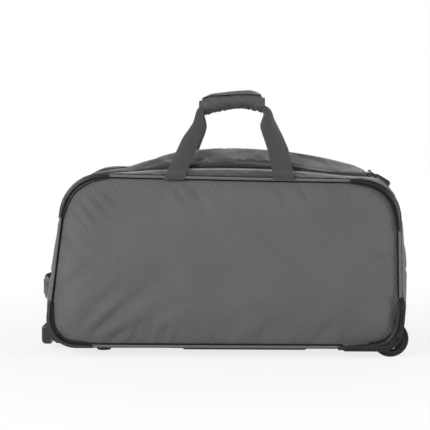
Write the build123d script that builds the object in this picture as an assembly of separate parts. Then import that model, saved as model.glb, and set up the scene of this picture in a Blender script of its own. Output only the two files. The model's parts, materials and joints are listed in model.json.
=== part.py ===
from build123d import *
import math
import os

# Wheeled holdall: a soft body with a zipped lid, carry handles, two wheels and a trolley handle.
# Frame: +X is the wheel end, -Y is the front, +Z is up, and the wheels and feet stand on Z = 0.
# All sizes are in millimetres.

# ---------------------------------------------------------------- driving dimensions

# Body outline seen from the front, and its depth
ground_clearance = 17.0
base_length = 670.0
base_centre = -2.0
handle_end_height = 326.0
wheel_end_height = 314.0
handle_end_lean = 42.0
wheel_end_lean = 6.0
top_edge_sag = 8.5
seam_depth = 300.0
fabric_wall = 3.0

# Corner radii of the front and rear seams, and of the body at mid depth
radius_top_handle = 92.0
radius_top_wheel = 86.0
radius_low_handle = 58.0
radius_low_wheel = 40.0
radius_mid_top_handle = 62.0
radius_mid_top_wheel = 84.0
radius_mid_low = 50.0
smallest_corner = 12.0

# How far the soft body swells at mid depth, past the seams
crown_rise = 50.0
crown_shoulder = 20.0
handle_end_swell = 14.0
wheel_end_swell = 21.0
wheel_corner_tuck = 10.0

# Horizontal seams between the base, the end panels and the top
base_seam_height = 80.0
end_seam_height = 152.0
top_seam_height = 255.0

# Front and rear panels
panel_bulge = 14.0
panel_flat_margin = 62.0
panel_wall = 3.0
seam_allowance = 1.7

# Piping and the moulded corner guards
piping_diameter = 6.6
guard_width = 12.6
guard_depth = 8.3
guard_overhang = 0.8
guard_groove = 1.6
guard_top_handle_run = 85.3
guard_top_handle_drop = 83.2
guard_top_wheel_run = 94.6
guard_top_wheel_drop = 95.7
guard_low_handle_run = 95.0
guard_low_handle_rise = 89.0

# Lid opening, a U-shaped zip with its open side at the rear
opening_length = 560.0
opening_centre = 7.5
opening_front = 122.0
opening_rear = 115.0
opening_corner = 70.0
tape_width = 9.0
tape_thickness = 1.3
coil_width = 6.4
coil_height = 2.6
lid_pad_rise = 4.0
lid_pad_wall = 9.0
hinge_gap = 0.7

# Zip sliders and pulls
slider_length = 11.0
slider_wall = 1.3
slider_spacing = 17.0
slider_front_place = -40.0
slider_front_travel = 9.0
slider_rear_travel = 36.0
pull_length = 36.0
pull_width = 9.5
pull_thickness = 3.6
pull_link_length = 9.0
pull_slope = 32.0
bail_radius = 3.4
bail_hole = 1.8
bail_width = 1.8
bail_lift = 2.3

# Carry handles and their grip wrap
webbing_width = 39.0
webbing_thickness = 2.4
webbing_folded_width = 15.0
handle_base_handle_side = -90.5
handle_base_wheel_side = 112.0
grip_length = 124.0
grip_centre = 12.0
grip_height = 471.0
grip_radius = 21.0
grip_wall = 5.0
grip_bar_offset = 7.0
anchor_height = 8.0
lid_swing = 100.0
handle_swing_ratio = 2.0

# End grab handle and the kick plate under the other end
grab_height = 117.0
grab_width = 44.0
grab_span = 170.0
grab_reach = 353.0
grab_bow = 26.0
grab_thickness = 5.5
kick_plate_span = 190.0
kick_plate_low = 46.0
kick_plate_high = 87.0
kick_plate_wall = 3.0

# Wheels, axles and the moulded wheel housings
wheel_radius = 34.0
wheel_width = 23.0
wheel_axle_x = 311.0
wheel_side_gap = 1.6
tyre_depth = 7.8
hub_web = 8.0
hub_barrel_radius = 12.5
bearing_radius = 9.5
bearing_width = 6.0
axle_radius = 3.0
running_clearance = 0.05
arch_gap = 4.0
housing_wall = 3.0
housing_reach_low = 217.0
housing_reach_high = 114.0
housing_side_margin = 2.0
housing_base_margin = 5.0
housing_face_depth = 6.0
housing_ridge_depth = 2.4
housing_ridge_inset = 2.6
housing_plate_span = 52.0
housing_chamfer = 9.0
housing_band_side = 4.0
housing_band_low = 18.0
housing_corner_step = 8.0
housing_groove_width = 1.0

# Base board, skid rails and feet
board_thickness = 2.0
rail_length = 238.0
rail_centre = 39.0
rail_width = 14.0
rail_height = 4.2
rail_offset = 138.0
foot_x = -232.0
foot_offset = 60.0
foot_radius = 15.0

# Trolley handle
trolley_gauge = 120.0
outer_tube_width = 18.0
outer_tube_height = 14.0
tube_wall = 1.2
tube_clearance = 0.3
tube_inner_corner = 1.4
spigot_length = 16.0
tube_overlap = 61.0
bracket_x = 196.0
bracket_length = 18.0
socket_span = 156.0
socket_back = -296.0
socket_face = -333.0
socket_low = 13.0
socket_high = 54.0
finger_gap_span = 76.0
finger_gap_depth = 17.0
trolley_grip_span = 144.0
trolley_grip_height = 37.0
trolley_grip_reach = -351.0
trolley_travel = 330.0
button_span = 30.0
button_height = 13.0
button_depth = 9.0
button_proud = 1.4
button_travel = 2.5
tunnel_wall = 1.6
tunnel_margin = 4.0

# Clearances
seat_gap = 0.3
moving_gap = 0.4

# ---------------------------------------------------------------- derived places

seam_y = seam_depth / 2
base_left = base_centre - base_length / 2
base_right = base_centre + base_length / 2
base_top = ground_clearance + fabric_wall
face_y = seam_y + seat_gap + seam_allowance
piping_y = face_y + seat_gap / 2 + piping_diameter / 2
guard_y = face_y + seat_gap / 2
FRONT, REAR = -1, 1
SIDES = {"front": FRONT, "rear": REAR}
BIG = 2000.0


def save(node, *solids):
    """Writes one sub-part's solids to parts/NODE.step."""
    pieces = [piece for solid in solids for piece in solid.solids()]
    shape = pieces[0] if len(pieces) == 1 else Compound(children=pieces)
    export_step(shape, f"parts/{node}.step")


def slab(x=(-BIG, BIG), y=(-BIG, BIG), z=(-BIG, BIG)):
    """A block between the given low and high places along each axis."""
    sizes = [high - low for low, high in (x, y, z)]
    middle = [(high + low) / 2 for low, high in (x, y, z)]
    return Pos(*middle) * Box(*sizes)


def at_side(side, near, far, profile):
    """Extrudes a profile drawn in the X-Z plane from one distance to another, on one side of the bag."""
    low, high = sorted((side * near, side * far))
    return extrude(Plane.XZ.offset(-low) * profile, -(high - low))


def rounded(face, corners):
    """Rounds the corners of a flat face: corners lists (x, y, radius)."""
    for x, y, radius in corners:
        corner = face.vertices().sort_by_distance(Vector(x, y, 0))[0]
        face = fillet(corner, radius)
    return face


# ---------------------------------------------------------------- soft body

def side_outline(grow=0.0, swell=0.0):
    """The body's outline in X-Z, moved out by grow: at a seam with swell 0, at mid depth with swell 1."""
    left, right = base_left - grow, base_right + grow
    low = ground_clearance - grow
    shoulder = swell * crown_shoulder
    lean_left = handle_end_lean
    lean_right = wheel_end_lean + swell * wheel_corner_tuck
    high_left = ground_clearance + handle_end_height - shoulder + grow
    high_right = ground_clearance + wheel_end_height - shoulder / 2 + grow
    bottom_left, bottom_right = (left, low), (right, low)
    top_left, top_right = (left + lean_left, high_left), (right - lean_right, high_right)
    middle = (left + right) / 2 + handle_end_lean / 4
    mid_height = (high_left + high_right) / 2
    crown = mid_height - (1 - swell) * top_edge_sag + swell * (crown_rise + shoulder / 4)
    waist = end_seam_height
    share = (waist - low) / (high_left - low)
    bulge_left = (left + lean_left * share - swell * handle_end_swell, waist)
    bulge_right = (right - lean_right * share + swell * wheel_end_swell, waist)
    if swell:
        ends = (ThreePointArc(bottom_right, bulge_right, top_right),
                ThreePointArc(top_left, bulge_left, bottom_left))
    else:
        ends = Line(bottom_right, top_right), Line(top_left, bottom_left)
    top = ThreePointArc(top_right, (middle, crown), top_left)
    face = make_face(Line(bottom_left, bottom_right) + ends[0] + top + ends[1])
    radii = [
        (bottom_left, radius_low_handle, radius_mid_low),
        (bottom_right, radius_low_wheel, radius_mid_low),
        (top_right, radius_top_wheel, radius_mid_top_wheel),
        (top_left, radius_top_handle, radius_mid_top_handle),
    ]
    return rounded(face, [(*place, max(smallest_corner, seam + swell * (mid - seam) + grow))
                          for place, seam, mid in radii])


def body(grow=0.0, reach=seam_y):
    """The whole body's form, from seam to seam, moved out by grow."""
    seam, middle = side_outline(grow), side_outline(grow, 1.0)
    return loft([Plane.XZ.offset(reach) * seam, Plane.XZ * middle, Plane.XZ.offset(-reach) * seam])


outer_form = body()
gusset = outer_form - body(-fabric_wall, seam_y + 1)


def height_over(x, y, form=outer_form):
    """The height of a form's top surface over a place."""
    line = Edge.make_line((x, y, ground_clearance + fabric_wall * 2), (x, y, BIG)) & form
    return max(vertex.Z for vertex in line.vertices())


# ---------------------------------------------------------------- wheel housings

wheel_y = seam_y - housing_wall - wheel_side_gap - wheel_width / 2
wheel_axle_z = wheel_radius
arch_radius = wheel_radius + arch_gap
housing_right = base_right + housing_side_margin
housing_low = ground_clearance - housing_base_margin
housing_corner = radius_low_wheel + housing_side_margin / 2
housing_band = housing_side_margin + housing_band_side
housing_inner_low = housing_low + housing_band_low
housing_inner_corner = radius_low_wheel - housing_corner_step


def housing_profile(grow=0.0):
    """The housing's face round the body's low corner: slim up the end, deep below the corner."""
    right, low = housing_right + grow, housing_low - grow
    inner, sill = housing_right - housing_band - grow, housing_inner_low + grow
    left, top = housing_reach_low - grow, housing_reach_high + grow
    face = make_face(Polyline(
        (left, ground_clearance + fabric_wall + 1 + grow), (left, ground_clearance),
        (left + housing_chamfer, low), (right, low), (right, top), (inner, top), (inner, sill), close=True))
    return rounded(face, [
        (right, low, housing_corner + grow), (inner, sill, housing_inner_corner - grow),
        (right, top, 2.0), (inner, top, 2.0),
    ])


def arch_profile(radius):
    """A disc round the axle, trimmed to the housing's outer corner."""
    corner = make_face(Polyline(
        (housing_reach_low, housing_low), (housing_right, housing_low),
        (housing_right, housing_reach_high), (housing_reach_low, housing_reach_high), close=True))
    corner = rounded(corner, [(housing_right, housing_low, housing_corner)])
    return Pos(wheel_axle_x, wheel_axle_z) * Circle(radius) & corner


def wheel_housing(side):
    """One moulded corner: a stepped face, the wheel arch with its two cheeks, and a sole plate."""
    outer_cheek = seam_y
    inner_cheek = wheel_y - wheel_width / 2 - wheel_side_gap - housing_wall
    face = at_side(side, face_y - seam_allowance, face_y + housing_face_depth, housing_profile())
    ridge = at_side(side, face_y + housing_face_depth, face_y + housing_face_depth + housing_ridge_depth,
                    offset(housing_profile(), -housing_ridge_inset))
    groove_inset = housing_ridge_inset + 1.6 * housing_groove_width
    groove = at_side(side, face_y + housing_face_depth, face_y + housing_face_depth + housing_ridge_depth,
                     offset(housing_profile(), -groove_inset)
                     - offset(housing_profile(), -groove_inset - housing_groove_width))
    arch = at_side(side, inner_cheek, face_y - seam_allowance, arch_profile(arch_radius + housing_wall))
    space = at_side(side, inner_cheek + housing_wall, outer_cheek - housing_wall,
                    Pos(wheel_axle_x, wheel_axle_z) * Circle(arch_radius))
    sole_y = sorted((side * (face_y - seam_allowance), side * (outer_cheek - housing_plate_span)))
    sole = slab(x=(housing_reach_low + housing_chamfer, wheel_axle_x - arch_radius + housing_wall), y=sole_y,
                z=(housing_low, ground_clearance - seat_gap))
    bore = at_side(side, inner_cheek, outer_cheek + housing_face_depth / 2,
                   Pos(wheel_axle_x, wheel_axle_z) * Circle(axle_radius + running_clearance))
    return face + ridge - groove + arch + sole - space - bore


def housing_space(side):
    """The room that a wheel housing takes out of the soft body."""
    inner = wheel_y - wheel_width / 2 - wheel_side_gap - housing_wall - seat_gap
    disc = Pos(wheel_axle_x, wheel_axle_z) * Circle(arch_radius + housing_wall + seat_gap)
    return at_side(side, inner, seam_y + 1, disc)


# ---------------------------------------------------------------- trolley places

tube_z = base_top + seat_gap + board_thickness + seat_gap + outer_tube_height / 2
tunnel_top = tube_z + outer_tube_height / 2 + tunnel_margin / 2 + tunnel_wall
socket_box = dict(x=(socket_face, socket_back), y=(-socket_span / 2, socket_span / 2), z=(socket_low, socket_high))


def widened(box, gap):
    return {axis: (low - gap, high + gap) for axis, (low, high) in box.items()}


socket_space = slab(**{**widened(socket_box, seat_gap), "x": (-BIG, socket_back + seat_gap)})

# ---------------------------------------------------------------- fabric panels round the body

opened = gusset - housing_space(FRONT) - housing_space(REAR) - socket_space


def lid_outline(inset, rear=opening_rear):
    """A column through the lid opening: rounded at the front corners, square at the hinge."""
    half = opening_length / 2 - inset
    front = -opening_front + inset
    face = make_face(Polyline((-half, front), (half, front), (half, rear), (-half, rear), close=True))
    face = rounded(face, [(x, front, opening_corner - inset) for x in (-half, half)])
    return extrude(Pos(opening_centre, 0, top_seam_height) * face, BIG / 4)


gusset_panels = {}
gusset_panels["base_panel"] = opened & slab(z=(-BIG, base_seam_height))
for end, reach in (("handle_end", (-BIG, base_centre)), ("wheel_end", (base_centre, BIG))):
    gusset_panels[f"{end}_lower_panel"] = opened & slab(x=reach, z=(base_seam_height, end_seam_height))
    gusset_panels[f"{end}_upper_panel"] = opened & slab(x=reach, z=(end_seam_height, top_seam_height))
gusset_panels["top_panel"] = (opened & slab(z=(top_seam_height, BIG))) - lid_outline(0)


def panel_form(grow, shift, bulge):
    """A panel's swelling form, from its seam face outward."""
    rim = side_outline(grow)
    step = panel_flat_margin / 3
    start = face_y - seam_allowance - shift
    rise = [0.0, seam_allowance + 0.6, seam_allowance + bulge * 0.55, seam_allowance + bulge * 0.86,
            seam_allowance + bulge]
    inset = [0.0, 0.0, step * 0.8, step * 1.7, panel_flat_margin]
    faces = [side_outline(grow - margin) for margin in inset]
    low = extrude(Plane.XZ.offset(start) * rim, rise[1])
    dome = loft([Plane.XZ.offset(start + height) * face for height, face in zip(rise[1:], faces[1:])])
    return low + dome


def face_panel(side):
    """Front or rear panel: a seam flange behind the piping, and the padded face that swells past it."""
    inner_edge = -(piping_diameter + seat_gap)
    flange = at_side(FRONT, face_y - seam_allowance, face_y, side_outline(-seat_gap))
    dome = panel_form(inner_edge, 0.0, panel_bulge)
    hollow = panel_form(inner_edge - panel_wall, panel_wall, panel_bulge)
    panel = flange + dome - hollow
    trimmed = panel - at_side(FRONT, face_y - seam_allowance - 1, seam_y + 40, housing_profile(seat_gap))
    return trimmed if side == FRONT else mirror(trimmed, Plane.XZ)


# ---------------------------------------------------------------- piping and corner guards

guard_zones = {
    "top_handle_end": dict(x=(-BIG, base_left + handle_end_lean + guard_top_handle_run),
                           z=(ground_clearance + handle_end_height - guard_top_handle_drop, BIG)),
    "top_wheel_end": dict(x=(base_right - wheel_end_lean - guard_top_wheel_run, BIG),
                          z=(ground_clearance + wheel_end_height - guard_top_wheel_drop, BIG)),
    "low_handle_end": dict(x=(-BIG, base_left + guard_low_handle_run),
                           z=(-BIG, ground_clearance + guard_low_handle_rise)),
}
housing_zone = dict(x=(housing_reach_low - seat_gap, BIG), z=(-BIG, housing_reach_high + seat_gap))


def piping(side):
    """The straight runs of the piping between the corner mouldings."""
    centre = Plane.XZ.offset(piping_y) * side_outline(-piping_diameter / 2 - 0.1)
    path = centre.face().outer_wire()
    start = path @ 0
    ring = sweep(Plane(origin=start, z_dir=path % 0) * Circle(piping_diameter / 2), path=path)
    for zone in [*guard_zones.values(), housing_zone]:
        ring -= slab(**widened({"y": (-BIG, BIG), **zone}, seat_gap))
    return ring if side == FRONT else mirror(ring, Plane.XZ)


def corner_guard(zone, side):
    """A rubber guard over the piping of one corner, with a lip over the panel and a groove along it."""
    outside, seat = side_outline(guard_overhang), side_outline(-piping_diameter)
    lip = side_outline(-guard_width)
    lip_y = guard_y + guard_depth * 0.42
    top_y = guard_y + guard_depth
    foot = at_side(FRONT, guard_y, lip_y, outside - seat)
    cap = at_side(FRONT, lip_y, top_y, outside)
    cap = fillet(cap.faces().sort_by(Axis.Y)[0].edges(), guard_depth * 0.45)
    cap -= at_side(FRONT, lip_y, top_y, lip)
    groove_edge = -guard_width * 0.62
    groove = at_side(FRONT, top_y - guard_groove, top_y,
                     side_outline(groove_edge) - side_outline(groove_edge - guard_groove))
    guard = (foot + cap - groove) & slab(**zone)
    return guard if side == FRONT else mirror(guard, Plane.XZ)


# ---------------------------------------------------------------- lid and zip

tape_form = body(-0.2)
tape_skin = tape_form - body(-0.2 - tape_thickness)
coil_skin = body(coil_height / 2) - body(-coil_height / 2)
track_inset = tape_width + seat_gap / 2
coil_centre_inset = track_inset + coil_width / 2
lid_tape_inset = coil_centre_inset + coil_width / 2 + slider_wall + 2 * moving_gap
frame_tape = tape_skin & (lid_outline(seat_gap) - lid_outline(track_inset - seat_gap / 2))
coil = coil_skin & (lid_outline(track_inset) - lid_outline(track_inset + coil_width))
lid_edge = opening_rear - hinge_gap
lid_tape = tape_skin & (lid_outline(lid_tape_inset, lid_edge) - lid_outline(lid_tape_inset + tape_width, lid_edge))
lid_pad_inset = lid_tape_inset + tape_width + seat_gap
lid_pad = (body(lid_pad_rise) - body(lid_pad_rise - lid_pad_wall)) & lid_outline(lid_pad_inset, lid_edge)
hinge_z = height_over(opening_centre, opening_rear) + lid_pad_rise
hinge_y = opening_rear

# ---------------------------------------------------------------- zip sliders and pulls

slider_x = opening_centre + opening_length / 2 - coil_centre_inset
coil_form = body(coil_height / 2)


sliders = {
    "front": (slider_front_place, -slider_front_travel),
    "rear": (slider_front_place + slider_spacing, slider_rear_travel),
}


def coil_top(x, low, high):
    """The coil's highest point along a stretch of its straight run at the wheel end."""
    steps = 8
    return max(height_over(x, low + (high - low) * step / steps, coil_form) for step in range(steps + 1))


def slider_seat(low, high):
    """A plane on top of the coil, level along its run and tilted with the slope across it."""
    half = coil_width / 2
    inner, outer = (coil_top(slider_x + side * half, low, high) for side in (-1, 1))
    tilt = math.degrees(math.atan2(inner - outer, coil_width))
    return Pos(slider_x, 0, (inner + outer) / 2) * Rot(0, tilt, 0)


def zip_slider(place, travel):
    """Slider body: a plate over the coil with two side walls, and the bail that holds the pull."""
    half = slider_length / 2
    seat = Pos(0, place, 0) * slider_seat(place - half + min(travel, 0), place + half + max(travel, 0))
    span = coil_width / 2 + moving_gap + slider_wall
    low, high = moving_gap, moving_gap + slider_wall
    plate = slab(x=(-span, span), y=(-half, half), z=(low, high))
    plate = fillet(plate.edges().filter_by(Axis.Z), slider_length / 4)
    walls = [slab(x=sorted((side * span, side * (span - slider_wall))), y=(-half * 0.7, half * 0.7),
                  z=(-coil_height * 0.2, low)) for side in (-1, 1)]
    ring = Rot(90, 0, 0) * (Cylinder(bail_radius, bail_width) - Cylinder(bail_hole, bail_width))
    bail = Pos(0, 0, high + bail_lift) * ring & slab(z=(high - slider_wall / 2, BIG))
    pivot = (seat * Pos(0, 0, high + bail_lift)).position
    return seat * (plate + walls + bail), pivot


def zip_pull(pivot):
    """Pull: a link through the bail and a moulded tab that lies down the slope of the body."""
    tab_plan = Pos(pull_link_length + pull_length / 2, 0) * RectangleRounded(pull_length, pull_width, pull_width / 2.6)
    tab = extrude(Pos(0, 0, -pull_thickness / 2) * tab_plan, pull_thickness)
    tab = fillet(tab.faces().sort_by(Axis.Z)[-1].edges(), 0.9)
    bar = bail_hole / 3
    inner = pull_link_length + 1
    link = extrude(Pos(inner / 2, 0) * (SlotOverall(inner + 2 * bar, 3.4 + 4 * bar) - SlotOverall(inner - 2 * bar, 3.4)),
                   bar, both=True)
    return Pos(*pivot) * Rot(0, pull_slope, 0) * (tab + link)


# ---------------------------------------------------------------- carry handles

def seam_top(x):
    """Height of the front seam's top edge over a place along the bag."""
    edge = Edge.make_line((x, 0, base_seam_height), (x, 0, BIG)) & (Plane.XZ * side_outline())
    return max(vertex.Z for vertex in edge.vertices())


handle_axis_y = piping_y + piping_diameter / 2 + moving_gap + webbing_thickness / 2
handle_axis_z = max(seam_top(handle_base_handle_side), seam_top(handle_base_wheel_side)) - piping_diameter / 2 + 3.2
bar_y = grip_bar_offset
handle_rise = math.hypot(handle_axis_y - bar_y, grip_height - handle_axis_z)
handle_lean = math.degrees(math.atan2(handle_axis_y - bar_y, grip_height - handle_axis_z))


def handle_plane(side, drop=0.0):
    """The plane a handle's webbing lies in, after dropping by an angle: X along the bag, Y up the strap."""
    lean = math.radians(handle_lean - drop)
    up = Vector(0, -side * math.sin(lean), math.cos(lean))
    return Plane(origin=(0, side * handle_axis_y, handle_axis_z), x_dir=(1, 0, 0), z_dir=Vector(1, 0, 0).cross(up))


def carry_handle(side):
    """One webbing loop: two straps from the seam, folded narrow where they run through the grip."""
    low = 0.0
    high = handle_rise
    half_fold = webbing_folded_width / 2
    left, right = handle_base_handle_side, handle_base_wheel_side
    grip_left, grip_right = grip_centre - grip_length / 2, grip_centre + grip_length / 2
    half = webbing_width / 2
    fold_run = webbing_folded_width
    face = make_face(Polyline(
        (left - half, low), (grip_left - fold_run, high - half_fold), (grip_left - seat_gap, high + half_fold),
        (grip_right + seat_gap, high + half_fold), (grip_right + fold_run, high - half_fold), (right + half, low),
        (right - half, low), (grip_right + seat_gap, high - half_fold), (grip_left - seat_gap, high - half_fold),
        (left + half, low), close=True))
    loop = extrude(handle_plane(side) * face, webbing_thickness / 2, both=True)
    roll = Pos(0, side * handle_axis_y, handle_axis_z) * Rot(0, 90, 0) * Cylinder(webbing_thickness / 2, BIG)
    ends = slab(x=(left - half, left + half)) + slab(x=(right - half, right + half))
    return loop + (roll & ends)


def strap_anchors(side):
    """The sewn ends of one handle's webbing, below the bend, shaped so that the dropped straps lie over them."""
    outer = handle_axis_y + webbing_thickness / 2
    inner = outer - webbing_thickness + seat_gap / 2
    high = handle_axis_z - webbing_thickness / 2 - moving_gap
    dropped = handle_plane(side, lid_swing * handle_swing_ratio) * (Pos(0, BIG / 2) * Rectangle(BIG, BIG))
    room = extrude(dropped, webbing_thickness / 2 + moving_gap, both=True)
    return [slab(x=(x - webbing_width / 2, x + webbing_width / 2), y=sorted((side * inner, side * outer)),
                 z=(high - anchor_height, high)) - room
            for x in (handle_base_handle_side, handle_base_wheel_side)]


def grip_half(side):
    """Half of the grip wrap: it stays round its own handle's webbing when the two handles part."""
    tube = Cylinder(grip_radius, grip_length) - Cylinder(grip_radius - grip_wall, grip_length)
    tube = fillet(tube.edges().filter_by(GeomType.CIRCLE).group_by(SortBy.RADIUS)[-1], 1.8)
    tube = Pos(grip_centre, 0, grip_height) * Rot(0, 90, 0) * tube
    reach = sorted((side * seat_gap, side * BIG))
    return tube & slab(y=reach)


# ---------------------------------------------------------------- end handle and kick plate

def end_grab_handle():
    """A padded strap across the handle end, sewn down at both ends and standing off for the fingers."""
    ends_x = -(grab_reach - grab_bow)
    span = grab_span / 2
    outside = ThreePointArc((ends_x, -span), (-grab_reach, 0), (ends_x, span))
    inside = ThreePointArc((ends_x + grab_thickness, -span), (-grab_reach + grab_thickness, 0),
                           (ends_x + grab_thickness, span))
    face = make_face(outside + Line(outside @ 1, inside @ 1) + inside + Line(inside @ 0, outside @ 0))
    strap = extrude(Pos(0, 0, grab_height - grab_width / 2) * face, grab_width)
    strap = strap - body(seat_gap)
    return max(strap.solids(), key=lambda piece: piece.volume)


def kick_plate():
    """A moulded plate that follows the wheel end between the two wheel housings."""
    skin = body(seat_gap + kick_plate_wall) - body(seat_gap)
    return skin & slab(x=(base_centre, BIG), y=(-kick_plate_span / 2, kick_plate_span / 2),
                       z=(kick_plate_low, kick_plate_high))


# ---------------------------------------------------------------- wheels

def on_axle(side, solid):
    """Places a solid made round the Z axis onto a wheel's axle."""
    return Pos(wheel_axle_x, side * wheel_y, wheel_axle_z) * Rot(90 * side, 0, 0) * solid


def tyre():
    half = wheel_width / 2
    rim = wheel_radius - tyre_depth
    profile = make_face(Polyline((rim, -half + 1), (wheel_radius - 2, -half + 1), (wheel_radius, -half + 5),
                                 (wheel_radius, half - 5), (wheel_radius - 2, half - 1), (rim, half - 1), close=True))
    return revolve(Plane.XZ * profile, Axis.Z)


def hub():
    """Rim, web and barrel, with a ring of lightening pockets and a bearing seat at each end."""
    rim = wheel_radius - tyre_depth - running_clearance
    half = wheel_width / 2
    ring = Cylinder(rim, wheel_width - 2) - Cylinder(rim - 3, wheel_width - 2)
    web = Cylinder(rim - 2, hub_web)
    barrel = Cylinder(hub_barrel_radius, wheel_width - 1)
    bore = Cylinder(axle_radius + 1, wheel_width + 1)
    seat = Cylinder(bearing_radius + running_clearance, bearing_width)
    depth = half - 0.5 - bearing_width / 2
    seats = [Pos(0, 0, place) * seat for place in (-depth, depth)]
    pocket_radius = (rim - 3 + hub_barrel_radius) / 2
    pockets = [Rot(0, 0, turn * 72) * Pos(pocket_radius, 0, 0) * Cylinder(3.6, wheel_width) for turn in range(5)]
    return ring + web + barrel - bore - seats - pockets


def bearings():
    depth = wheel_width / 2 - 0.5 - bearing_width / 2
    ring = Cylinder(bearing_radius, bearing_width) - Cylinder(axle_radius + running_clearance, bearing_width)
    return [Pos(0, 0, place) * ring for place in (-depth, depth)]


def axle():
    """Plain axle pin, held in the two cheeks of its housing."""
    length = wheel_width + 2 * wheel_side_gap + 2 * housing_wall - 1
    return Cylinder(axle_radius, length)


# ---------------------------------------------------------------- base

def base_board():
    """Stiffening board that lies on the fabric base, between the trolley socket and the wheel arches."""
    low = base_top + seat_gap
    left = base_left + radius_low_handle + 2
    right = wheel_axle_x - arch_radius - housing_wall - 2
    face = Pos((left + right) / 2, 0, low) * RectangleRounded(right - left, seam_depth - 18, 12)
    return extrude(face, board_thickness)


def skid_rail(side):
    """Low runner under the base, with sloped ends."""
    top = ground_clearance - seat_gap
    left, right = rail_centre - rail_length / 2, rail_centre + rail_length / 2
    face = make_face(Polyline((left, top), (left + rail_height * 1.6, top - rail_height),
                              (right - rail_height * 1.6, top - rail_height), (right, top), close=True))
    rail = extrude(Plane.XZ.offset(-rail_width / 2) * face, rail_width)
    return Pos(0, side * rail_offset, 0) * fillet(rail.faces().sort_by(Axis.Z)[0].edges(), 1.2)


def foot(side):
    """Turned rubber foot with a screw well."""
    height = ground_clearance - seat_gap
    profile = make_face(Polyline((0, 0), (foot_radius - 3, 0), (foot_radius - 1, 2), (foot_radius + 1, height - 3),
                                 (foot_radius + 4, height - 2), (foot_radius + 4, height), (0, height), close=True))
    well = Cylinder(5, 9) + Cylinder(2.6, height * 3)
    return Pos(foot_x, side * foot_offset, 0) * (revolve(Plane.XZ * profile, Axis.Z) - well)


# ---------------------------------------------------------------- trolley handle

def tube(width, height, low, high, side):
    """Rectangular drawn tube along X."""
    outside = RectangleRounded(width, height, tube_inner_corner + tube_wall)
    inside = RectangleRounded(width - 2 * tube_wall, height - 2 * tube_wall, tube_inner_corner)
    run = extrude(Plane.YZ * (outside - inside), high - low)
    return Pos(low, side * trolley_gauge / 2, tube_z) * run


inner_width = outer_tube_width - 2 * tube_wall - 2 * tube_clearance
inner_height = outer_tube_height - 2 * tube_wall - 2 * tube_clearance
tube_seat_x = trolley_grip_reach + 5
inner_tube_end = socket_back + trolley_travel + tube_overlap


def trolley_socket():
    """Moulded mouth in the handle end: it holds the tubes and leaves room for the fingers."""
    block = slab(**socket_box)
    block = chamfer(block.edges().filter_by(Axis.Y).group_by(Axis.Z)[0].sort_by(Axis.X)[0], 12)
    block = fillet(block.edges().filter_by(Axis.X), 6)
    room = slab(x=(-BIG, socket_face + finger_gap_depth), y=(-finger_gap_span / 2, finger_gap_span / 2),
                z=(tube_z - trolley_grip_height / 2 + 4, socket_high - 4))
    room = fillet(room.edges().filter_by(Axis.X), 8)
    bore = extrude(Plane.YZ * RectangleRounded(inner_width + 2 * tube_clearance,
                                               inner_height + 2 * tube_clearance, 2.2), BIG, both=True)
    bores = [Pos(0, side * trolley_gauge / 2, tube_z) * bore for side in (-1, 1)]
    return block - room - bores


def trolley_grip():
    """Pull grip across both tubes, rounded all along, with a pocket for the release button."""
    depth = socket_face - moving_gap - trolley_grip_reach
    middle = (socket_face - moving_gap + trolley_grip_reach) / 2
    bar = Box(depth, trolley_grip_span, trolley_grip_height)
    bar = fillet(bar.edges().filter_by(Axis.Y).group_by(Axis.X)[0], depth * 0.45)
    bar = fillet(bar.edges().filter_by(Axis.X), 5)
    bar = Pos(middle, 0, tube_z) * bar
    sockets = [slab(x=(tube_seat_x - running_clearance, BIG),
                    y=(side * trolley_gauge / 2 - inner_width / 2 - running_clearance,
                       side * trolley_gauge / 2 + inner_width / 2 + running_clearance),
                    z=(tube_z - inner_height / 2 - running_clearance, tube_z + inner_height / 2 + running_clearance))
               for side in (-1, 1)]
    pocket = slab(x=(-BIG, trolley_grip_reach + button_depth - button_proud + button_travel + moving_gap),
                  y=(-button_span / 2 - moving_gap, button_span / 2 + moving_gap),
                  z=(tube_z - button_height / 2 - moving_gap, tube_z + button_height / 2 + moving_gap))
    return bar - sockets - pocket


def trolley_button():
    key = Box(button_depth, button_span, button_height)
    key = fillet(key.faces().sort_by(Axis.X)[0].edges(), 1.2)
    return Pos(trolley_grip_reach - button_proud + button_depth / 2, 0, tube_z) * key


def trolley_bracket():
    """Block that closes the far ends of the outer tubes, with a spigot in each."""
    half = trolley_gauge / 2 + outer_tube_width / 2 + 6
    low = base_top + 2 * seat_gap + board_thickness
    block = slab(x=(bracket_x, bracket_x + bracket_length), y=(-half, half), z=(low, tunnel_top))
    block = fillet(block.edges().filter_by(Axis.X).group_by(Axis.Z)[-1], 4)
    profile = RectangleRounded(inner_width + 2 * (tube_clearance - running_clearance),
                               inner_height + 2 * (tube_clearance - running_clearance), tube_inner_corner)
    spigot = extrude(Plane.YZ * profile, -spigot_length)
    spigots = [Pos(bracket_x, side * trolley_gauge / 2, tube_z) * spigot for side in (-1, 1)]
    return block + spigots


def trolley_tunnel():
    """Low cover over the tubes, inside the bag."""
    half = trolley_gauge / 2 + outer_tube_width / 2 + tunnel_margin + tunnel_wall
    low = base_top + 2 * seat_gap + board_thickness
    span = dict(x=(socket_back + seat_gap, bracket_x - seat_gap))
    outside = slab(**span, y=(-half, half), z=(low, tunnel_top))
    inside = slab(x=(-BIG, BIG), y=(-half + tunnel_wall, half - tunnel_wall), z=(-BIG, tunnel_top - tunnel_wall))
    return fillet(outside.edges().filter_by(Axis.X).group_by(Axis.Z)[-1], 3) - inside


# ---------------------------------------------------------------- all sub-parts

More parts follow.
